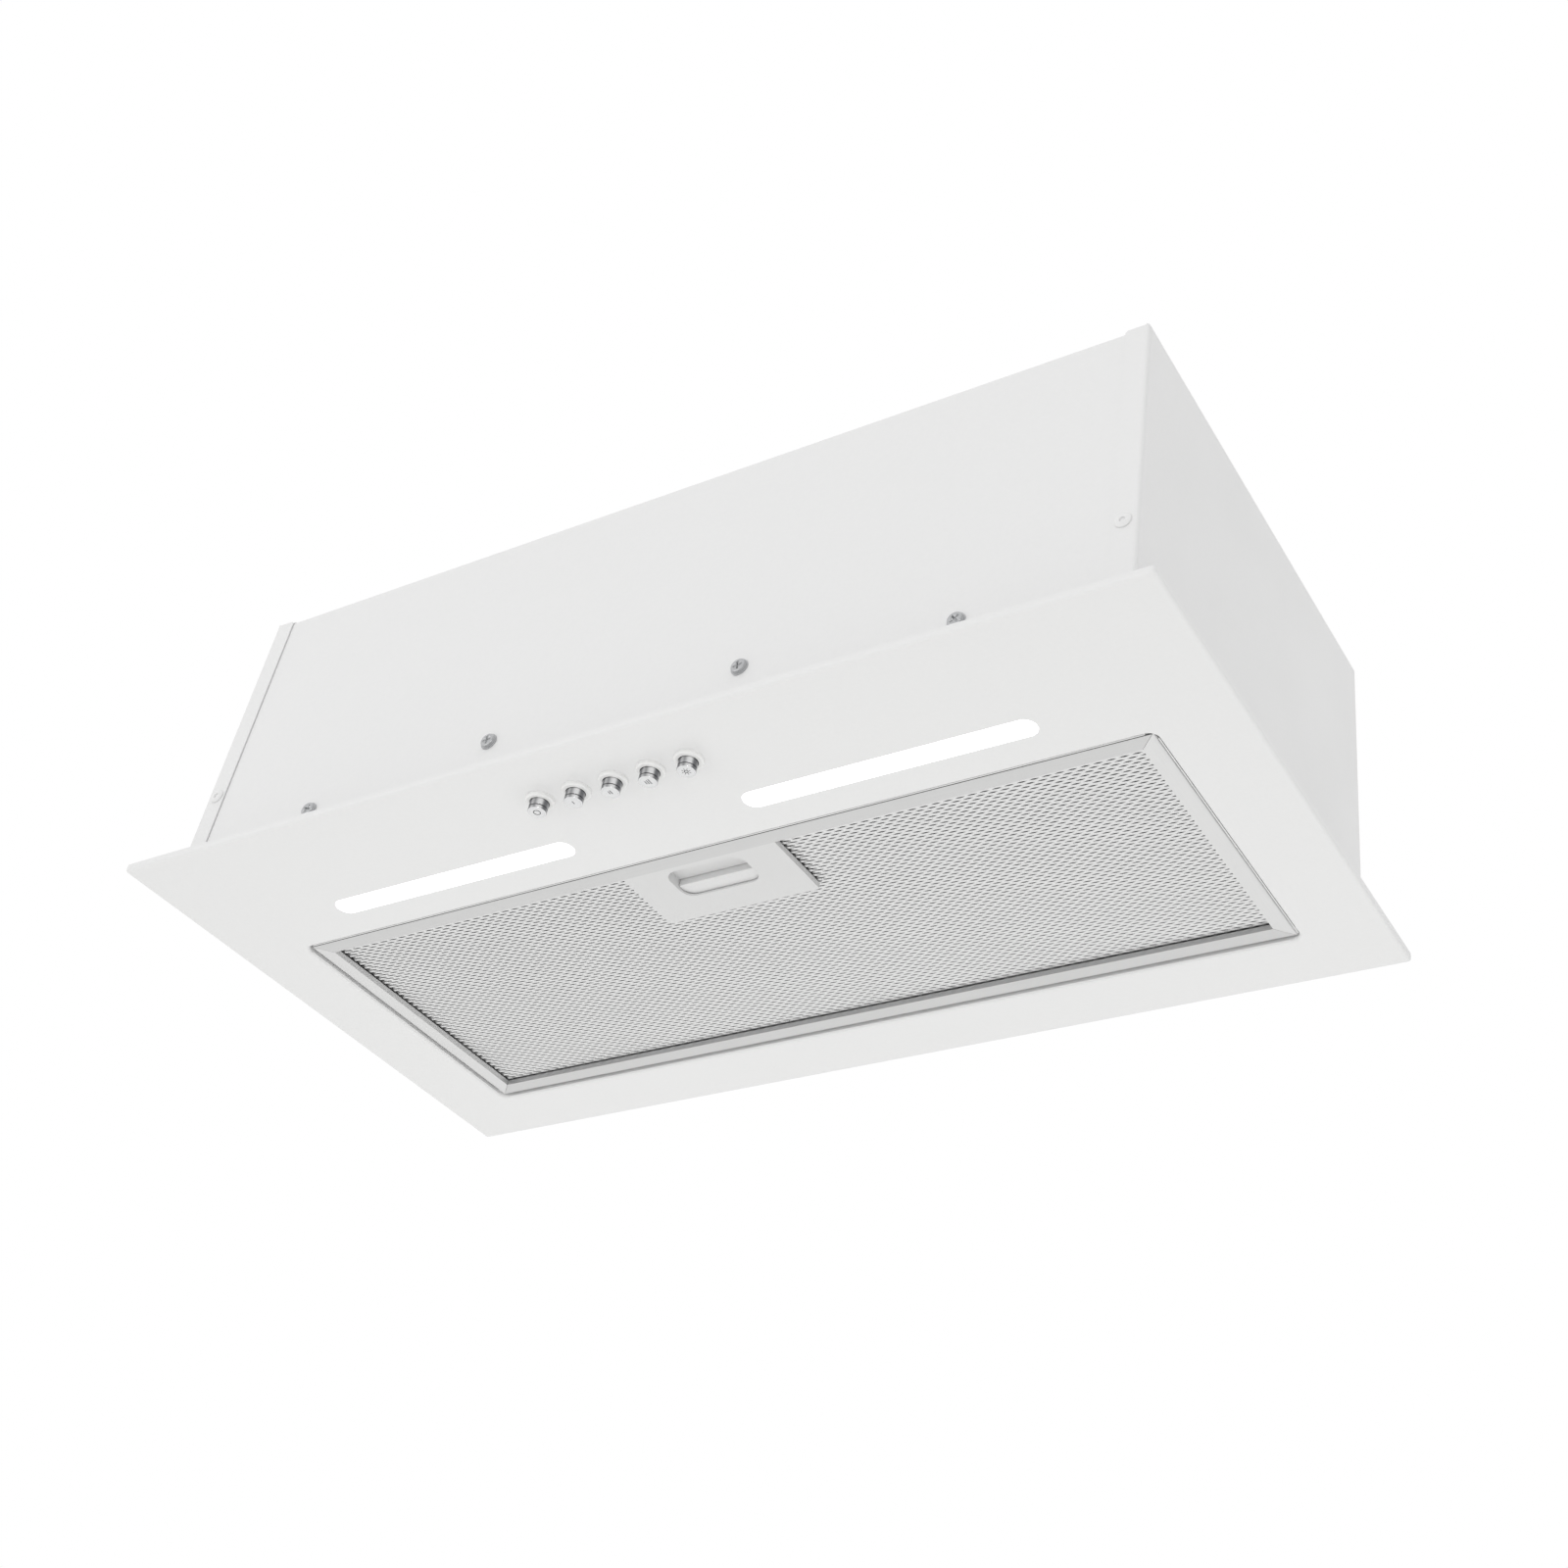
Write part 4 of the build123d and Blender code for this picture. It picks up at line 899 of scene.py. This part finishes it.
@dataclass
class CoilSpring:
    """A compression spring of round wire."""

    radius: float
    wire: float = 0.5 * MM
    turns: float = 5.5
    smoothness: int = 20

    def tree(self) -> bpy.types.NodeTree:
        """A tree that winds wire round the Z axis, from the origin upwards."""
        known = bpy.data.node_groups.get("coil_spring")
        if known:
            return known
        tree, given = new_tree(
            "coil_spring",
            {
                "Radius": "NodeSocketFloat",
                "Wire": "NodeSocketFloat",
                "Turns": "NodeSocketFloat",
                "Length": "NodeSocketFloat",
                "Smoothness": "NodeSocketInt",
                "Facing": "NodeSocketRotation",
                "Foot": "NodeSocketVector",
                "Material": "NodeSocketMaterial",
            },
        )
        rise = calculate(tree, "SUBTRACT", given["Length"], given["Wire"])
        spiral = add_node(
            tree,
            "GeometryNodeCurveSpiral",
            inputs={
                "Resolution": given["Smoothness"],
                "Rotations": given["Turns"],
                "Start Radius": given["Radius"],
                "End Radius": given["Radius"],
                "Height": rise,
            },
        )
        half_wire = calculate(tree, "DIVIDE", given["Wire"], 2.0)
        section = add_node(
            tree, "GeometryNodeCurvePrimitiveCircle", {"mode": "RADIUS"},
            {"Resolution": 10, "Radius": half_wire}
        )
        coil = add_node(
            tree,
            "GeometryNodeCurveToMesh",
            inputs={"Curve": spiral.outputs[0], "Profile Curve": section.outputs[0], "Fill Caps": True},
        )
        lift = add_node(tree, "ShaderNodeCombineXYZ", inputs={"Z": half_wire})
        raised = add_node(
            tree, "GeometryNodeTransform",
            inputs={"Geometry": coil.outputs[0], "Translation": lift.outputs[0]}
        )
        placed = add_node(
            tree,
            "GeometryNodeTransform",
            inputs={"Geometry": raised.outputs[0], "Rotation": given["Facing"], "Translation": given["Foot"]},
        )
        smooth = add_node(tree, "GeometryNodeSetShadeSmooth", inputs={"Geometry": placed.outputs[0]})
        end_tree(tree, smooth.outputs[0], given["Material"])
        return tree

    def wind(self, name: str, foot: Vector, length: float, facing: Matrix) -> bpy.types.Object:
        """Winds one spring.

        Args:
            name: The piece's name.
            foot: Where its axis starts.
            length: Its free length.
            facing: Turns its Z axis along the spring.

        Returns:
            The piece.
        """
        inputs = {
            "Radius": self.radius,
            "Wire": self.wire,
            "Turns": self.turns,
            "Length": length,
            "Smoothness": self.smoothness,
            "Facing": facing.to_euler(),
            "Foot": foot,
            "Material": SPRING_WIRE.material(),
        }
        return grow(self.tree(), name, inputs, [])


class Mark(Enum):
    """What a push button's end says: bars for the fan's speed, a ring for off and rays for the lamps."""

    OFF = 0
    LOW = 1
    MIDDLE = 2
    HIGH = 3
    LAMPS = 4


@dataclass
class PushButtons:
    """Five plated push buttons with their collars, springs and switch board."""

    radius: float = 4.7 * MM
    reach: float = 7.8 * MM  # below the plate
    cap: float = 1.9 * MM
    groove: float = 0.45 * MM
    groove_depth: float = 0.5 * MM
    dish: float = 0.14 * MM
    dish_radius: float = 3.7 * MM
    neck_above_plate: float = 9.0 * MM
    stop_above_plate: float = 2.9 * MM
    stop_thick: float = 1.5 * MM
    stem_radius: float = 2.2 * MM
    mark_line: float = 0.42 * MM
    mark_proud: float = 0.05 * MM
    travel: float = 3.0 * MM
    sides: int = 72

    def profile(self, low: float, high: float, flange: float) -> list[Vector]:
        """Outline of one button from its end face to its stem.

        Args:
            low: Height of the end face.
            high: Height of the stem's top.
            flange: Radius of the stop that holds it in.

        Returns:
            Radius and height of each point.
        """
        plate = low + self.reach
        waist = self.radius - self.groove_depth
        stop = plate + self.stop_above_plate
        shoulder = plate + self.neck_above_plate
        return filleted(
            [
                (0, low + self.dish, 0),
                (self.dish_radius, low + self.dish, 0.2 * MM),
                (self.dish_radius + self.dish, low, 0.08 * MM),
                (self.radius, low, 0.35 * MM),
                (self.radius, low + self.cap, 0.12 * MM),
                (waist, low + self.cap, 0),
                (waist, low + self.cap + self.groove, 0),
                (self.radius, low + self.cap + self.groove, 0.12 * MM),
                (self.radius, stop, 0),
                (flange, stop, 0.2 * MM),
                (flange, stop + self.stop_thick, 0.2 * MM),
                (self.radius, stop + self.stop_thick, 0),
                (self.radius, shoulder, 0.4 * MM),
                (self.stem_radius, shoulder, 0),
                (self.stem_radius, high, 0.3 * MM),
                (0, high, 0),
            ]
        )

    def mark(self, kind: Mark, face: Vector) -> bmesh.types.BMesh:
        """The thin painted lines on a button's end.

        Args:
            kind: Which mark.
            face: The end face's middle.

        Returns:
            The mark's shape.
        """
        shape = bmesh.new()
        line, thick = self.mark_line, 2 * self.mark_proud
        here = Matrix.Translation(face)
        if kind in (Mark.OFF, Mark.LAMPS):
            ring = 1.7 * MM if kind is Mark.OFF else 0.9 * MM
            low, high = -thick / 2, thick / 2
            outline = [
                (ring - line / 2, low),
                (ring + line / 2, low),
                (ring + line / 2, high),
                (ring - line / 2, high),
            ]
            add_lathe(shape, [Vector(point) for point in outline + outline[:1]], here, 40)
            bmesh.ops.remove_doubles(shape, verts=shape.verts, dist=1e-7)
        if kind is Mark.LAMPS:
            for number in range(8):
                turn = Matrix.Rotation(math.tau * number / 8, 4, "Z")
                out = Matrix.Translation((1.9 * MM, 0, 0))
                add_bar(shape, (0.9 * MM, 0.3 * MM, thick), here @ turn @ out, thick / 4)
        if kind in (Mark.LOW, Mark.MIDDLE, Mark.HIGH):
            gap = 1.15 * MM
            for number in range(kind.value):
                across = (number - (kind.value - 1) / 2) * gap
                length = (2.2 + 0.7 * number) * MM
                lean = Matrix.Translation((across, 0, 0)) @ Matrix.Rotation(math.radians(90), 4, "Z")
                add_bar(shape, (length, line, thick), here @ lean, thick / 4)
        return shape

    def build(self) -> None:
        """Builds the buttons, their marks and springs, and dresses the housing."""
        dress(WHITE_PLASTIC, "button_collars", "switch_housing")
        dress(SOLDER_MASK, "switch_board")
        spring = CoilSpring(radius=2.95 * MM)
        for number, kind in enumerate(Mark, start=1):
            low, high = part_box(f"button_{number}")
            middle = Vector(((low.x + high.x) / 2, (low.y + high.y) / 2, 0))
            shape = bmesh.new()
            outline = self.profile(low.z, high.z, (high.x - low.x) / 2)
            add_lathe(shape, outline, Matrix.Translation(middle), self.sides)
            button = new_piece(f"push_button_{number}", shape)
            button.data.materials.append(CHROME.material())
            button.data.materials.append(CHROME_FACE.material())
            button.data.materials.append(PAINTED_GROOVE_SHADE.material())
            # The button's sides carry bands of painted reflection, mapped round its axis.
            reflection_band_uv(button, middle)
            deep, waist = low.z + self.cap, self.radius - self.groove_depth / 2
            for face in button.data.polygons:
                face.material_index = 1 if face.center.z < low.z + self.dish * 1.2 else 0
                # Faces inside the groove take the painted shade.
                in_groove = deep - 1e-5 < face.center.z < deep + self.groove + 1e-5
                if in_groove and (face.center.xy - middle.xy).length < waist:
                    face.material_index = 2
            place_piece(button, CHROME, f"button_{number}", "button_chrome", f"button_{number}")
            face = middle + Vector((0, 0, low.z + self.dish))
            mark = new_piece(f"button_mark_{number}", self.mark(kind, face))
            place_piece(mark, MARK_PAINT, f"button_{number}", "button_chrome")
            foot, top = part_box(f"button_spring_{number}")
            coil = spring.wind(
                f"return_spring_{number}", Vector((middle.x, middle.y, foot.z)), top.z - foot.z,
                Matrix.Identity(3)
            )
            place_piece(coil, SPRING_WIRE, "hood", "steel", f"button_spring_{number}")
            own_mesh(coil)


@dataclass
class Lamps:
    """Two strips of lamps behind opal covers."""

    def build(self) -> None:
        """Dresses the covers, trays, boards and driver."""
        dress(OPAL_ACRYLIC, "lamp_lens_left", "lamp_lens_right")
        dress(WHITE_PLASTIC, "lamp_tray_left", "lamp_tray_right", "lamp_driver")
        dress(SOLDER_MASK, "lamp_board_left", "lamp_board_right")


@dataclass
class ExpandedLayer:
    """One layer of slit and stretched sheet."""

    name: str
    middle_above: float  # height of its middle above the pad's underside
    slide: tuple[float, float]  # how far it lies out of step with the first one
    lean: float  # tilt of its strands, in degrees
    finish: Finish


@dataclass
class GreaseFilter:
    """Folded aluminium frame, layers of expanded aluminium, and the latch."""

    long_way: float = 6.6 * MM
    short_way: float = 4.2 * MM
    strand: float = 1.3 * MM
    bond: float = 1.1 * MM
    sheet: float = 0.3 * MM
    border: float = 9.6 * MM
    tuck: float = 7.0 * MM  # how far the layers reach under the border
    chamber_gap: float = 0.2 * MM
    latch_travel: float = 4.0 * MM
    chamber_wall: float = 2 * MM  # of the latch's chamber, which the layers go round
    fold_shade: float = 0.85 * MM  # width of the painted shade strip on the fold along the front edge
    shade_proud: float = 0.05 * MM
    layers: list[ExpandedLayer] = field(
        default_factory=lambda: [
            ExpandedLayer("outer", 0.8 * MM, (0.0, 0.0), -15.0, EXPANDED_ALUMINIUM),
            # The middle layer is the darker copy: painted shade for the slits between the strands.
            ExpandedLayer("middle", 2.4 * MM, (1.6 * MM, 1.0 * MM), 18.0, SHADED_EXPANDED_ALUMINIUM),
            ExpandedLayer("inner", 4.4 * MM, (1.0 * MM, 0.7 * MM), -5.0, EXPANDED_ALUMINIUM),
        ]
    )

    def tree(self) -> bpy.types.NodeTree:
        """A tree that stretches a sheet into rows of staggered diamonds.

        Each row is one zigzag ribbon. Its strands lean, and its flats at the turns meet those of the rows
        beside it, which makes the bonds.
        """
        tree, given = new_tree(
            "expanded_sheet",
            {
                "Long Way": "NodeSocketFloat",
                "Short Way": "NodeSocketFloat",
                "Strand": "NodeSocketFloat",
                "Bond": "NodeSocketFloat",
                "Lean": "NodeSocketFloat",
                "Sheet": "NodeSocketFloat",
                "Columns": "NodeSocketInt",
                "Rows": "NodeSocketInt",
                "Corner": "NodeSocketVector",
                "Notch Half": "NodeSocketFloat",
                "Notch Back": "NodeSocketFloat",
                "Material": "NodeSocketMaterial",
            },
        )
        last = calculate(tree, "SUBTRACT", given["Columns"], 1.0)
        ribbon = add_node(
            tree,
            "GeometryNodeMeshGrid",
            inputs={"Size X": last, "Size Y": 1.0, "Vertices X": given["Columns"], "Vertices Y": 2},
        )
        spot = add_node(tree, "GeometryNodeInputPosition")
        parts = add_node(tree, "ShaderNodeSeparateXYZ", inputs={0: spot.outputs[0]})
        half_last = calculate(tree, "DIVIDE", last, 2.0)
        column = calculate(tree, "ROUND", calculate(tree, "ADD", parts.outputs["X"], half_last))
        edge = parts.outputs["Y"]
        turn_number = calculate(tree, "FLOOR", calculate(tree, "DIVIDE", column, 2.0))
        on_flat = calculate(tree, "FLOORED_MODULO", column, 2.0)
        up = calculate(tree, "FLOORED_MODULO", turn_number, 2.0)
        half_long = calculate(tree, "DIVIDE", given["Long Way"], 2.0)
        half_short = calculate(tree, "DIVIDE", given["Short Way"], 2.0)
        along_flat = calculate(tree, "MULTIPLY", on_flat, given["Bond"])
        x = calculate(tree, "MULTIPLY_ADD", turn_number, half_long, along_flat)
        side = calculate(tree, "ADD", calculate(tree, "SUBTRACT", 0.5, up), edge)
        across = calculate(tree, "MULTIPLY", side, given["Strand"])
        flat = calculate(tree, "MULTIPLY", across, calculate(tree, "COSINE", given["Lean"]))
        y = calculate(tree, "MULTIPLY_ADD", up, half_short, flat)
        z = calculate(tree, "MULTIPLY", across, calculate(tree, "SINE", given["Lean"]))
        folded = add_node(tree, "ShaderNodeCombineXYZ", inputs={"X": x, "Y": y, "Z": z})
        zigzag = add_node(
            tree, "GeometryNodeSetPosition",
            inputs={"Geometry": ribbon.outputs[0], "Position": folded.outputs[0]}
        )
        step = add_node(tree, "ShaderNodeCombineXYZ", inputs={"Y": half_short})
        starts = add_node(
            tree,
            "GeometryNodeMeshLine",
            inputs={"Count": given["Rows"], "Start Location": given["Corner"], "Offset": step.outputs[0]},
        )
        row = add_node(tree, "GeometryNodeInputIndex").outputs[0]
        odd = calculate(tree, "FLOORED_MODULO", row, 2.0)
        stagger = add_node(
            tree, "ShaderNodeCombineXYZ", inputs={"X": calculate(tree, "MULTIPLY", odd, half_long)}
        )
        staggered = add_node(
            tree, "GeometryNodeSetPosition",
            inputs={"Geometry": starts.outputs[0], "Offset": stagger.outputs[0]}
        )
        rows = add_node(
            tree,
            "GeometryNodeInstanceOnPoints",
            inputs={"Points": staggered.outputs[0], "Instance": zigzag.outputs[0]},
        )
        real = add_node(tree, "GeometryNodeRealizeInstances", inputs={"Geometry": rows.outputs[0]})
        there = add_node(tree, "ShaderNodeSeparateXYZ", inputs={0: spot.outputs[0]})
        from_middle = calculate(tree, "ABSOLUTE", there.outputs["X"])
        in_width = calculate(tree, "LESS_THAN", from_middle, given["Notch Half"])
        in_depth = calculate(tree, "LESS_THAN", there.outputs["Y"], given["Notch Back"])
        in_notch = calculate(tree, "MULTIPLY", in_width, in_depth)
        notched = add_node(
            tree,
            "GeometryNodeDeleteGeometry",
            {"domain": "FACE"},
            {"Geometry": real.outputs[0], "Selection": in_notch},
        ).outputs[0]
        raised = add_node(
            tree,
            "GeometryNodeExtrudeMesh",
            {"mode": "FACES"},
            {"Mesh": notched, "Offset Scale": given["Sheet"], "Individual": False},
        )
        under = add_node(tree, "GeometryNodeFlipFaces", inputs={"Mesh": notched})
        both = add_node(tree, "GeometryNodeJoinGeometry")
        for part in (raised.outputs[0], under.outputs[0]):
            tree.links.new(part, both.inputs[0])
        closed = add_node(
            tree, "GeometryNodeMergeByDistance", inputs={"Geometry": both.outputs[0], "Distance": 0.001 * MM}
        )
        end_tree(tree, closed.outputs[0], given["Material"])
        return tree

    def stretch_layers(self) -> None:
        """Builds the layers inside the frame and round the latch's chamber."""
        low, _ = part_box("filter_mesh")
        _, latch_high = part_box("latch_slider")
        _, plate_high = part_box("latch_plate")
        reach = self.border - self.tuck
        channel_low, channel_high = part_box("filter_channel_front")
        _, back_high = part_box("filter_channel_back")
        width = channel_high.x - channel_low.x - 2 * reach
        depth = back_high.y - channel_low.y - 2 * reach
        tree = self.tree()
        for layer in self.layers:
            lean = math.radians(layer.lean)
            columns = 2 * int(width / (self.long_way / 2))
            rows = math.ceil(depth / (self.short_way / 2))
            corner = Vector((-width / 2 + layer.slide[0], channel_low.y + reach + layer.slide[1], low.z + layer.middle_above))
            inputs = {
                "Long Way": self.long_way,
                "Short Way": self.short_way,
                "Strand": self.strand,
                "Bond": self.bond,
                "Lean": lean,
                "Sheet": self.sheet,
                "Columns": columns,
                "Rows": rows,
                "Corner": corner,
                "Notch Half": latch_high.x + self.chamber_wall,
                "Notch Back": plate_high.y - self.chamber_wall,
                "Material": layer.finish.material(),
            }
            piece = grow(tree, f"expanded_mesh_{layer.name}", inputs, [])
            stands_for = ("filter_mesh",) if layer is self.layers[0] else ()
            place_piece(piece, layer.finish, "filter", "filter_mesh", *stands_for)

    def front_fold(self) -> bpy.types.Object:
        """A dark strip of painted shade on the fold along the frame's front edge."""
        low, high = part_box("filter_channel_front")
        size = (high.x - low.x - 2 * self.fold_shade, self.fold_shade, 2 * self.shade_proud)
        middle = Matrix.Translation(((low.x + high.x) / 2, low.y + self.fold_shade / 2, low.z))
        shape = bmesh.new()
        add_bar(shape, size, middle, self.shade_proud / 2)
        return new_piece("front_fold", shape)

    def build(self) -> None:
        """Builds the layers, the front fold's painted shade and the latch's spring, and dresses the frame and
        the latch.
        """
        place_piece(self.front_fold(), FOLD_SHADE, "filter", "filter_aluminium")
        # Darker front and back strips and lighter side strips: painted shade and painted light.
        dress(SHADED_ALUMINIUM_ALONG_X, "filter_channel_front", "filter_channel_back")
        dress(LIT_ALUMINIUM_ALONG_Y, "filter_channel_left", "filter_channel_right")
        dress(SILVER_ABS, "latch_plate")
        dress(SILVER_ABS_SLIDER, "latch_slider")
        self.stretch_layers()
        low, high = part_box("latch_spring")
        coil = CoilSpring(radius=2.0 * MM)
        foot = Vector(((low.x + high.x) / 2, low.y, (low.z + high.z) / 2))
        spring = coil.wind("latch_return_spring", foot, high.y - low.y, Matrix.Rotation(-math.pi / 2, 3, "X"))
        place_piece(spring, SPRING_WIRE, "filter", "steel", "latch_spring")
        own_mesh(spring)


@dataclass
class Blower:
    """Scroll housing, impeller and motor."""

    def build(self) -> None:
        """Dresses the housing, the impeller and the motor."""
        dress(GREY_PLASTIC, "blower_shell_left", "blower_shell_right")
        dress(GREY_PLASTIC_SMOOTH, "inlet_ring_left", "inlet_ring_right", "impeller")
        dress(PRESSED_STEEL, "motor_cap_inner", "motor_cap_outer")
        dress(IRON_STACK, "motor_rotor", "motor_stator")
        dress(GROUND_STEEL, "motor_shaft", "motor_bearings")
        dress(GALVANISED, "motor_bracket")
        dress(RUBBER, "motor_bushes")
        dress(ZINC_PLATE, "motor_screws")


@dataclass
class Outlet:
    """Duct collar with its backdraft flaps."""

    def build(self) -> None:
        """Dresses the collar, flaps and pins."""
        dress(BLACK_PLASTIC, "outlet_collar", "damper_flap_left", "damper_flap_right")
        dress(GROUND_STEEL, "damper_pins")


@dataclass
class Electrics:
    """Terminal box, gland and capacitor."""

    def build(self) -> None:
        """Dresses the electrical parts."""
        dress(GREY_PLASTIC_SMOOTH, "terminal_box", "terminal_lid")
        dress(BLACK_PLASTIC, "cable_gland")
        dress(WHITE_PLASTIC, "run_capacitor")


def main() -> None:
    """Builds the studio and every sub-assembly."""
    logging.basicConfig(level=logging.INFO, format="%(name)s %(message)s")
    for assembly in (
        Studio(),
        Casing(),
        Fasteners(),
        PushButtons(),
        Lamps(),
        GreaseFilter(),
        Blower(),
        Outlet(),
        Electrics(),
    ):
        log.info("building %s", type(assembly).__name__)
        assembly.build()


if __name__ == "__main__":
    main()
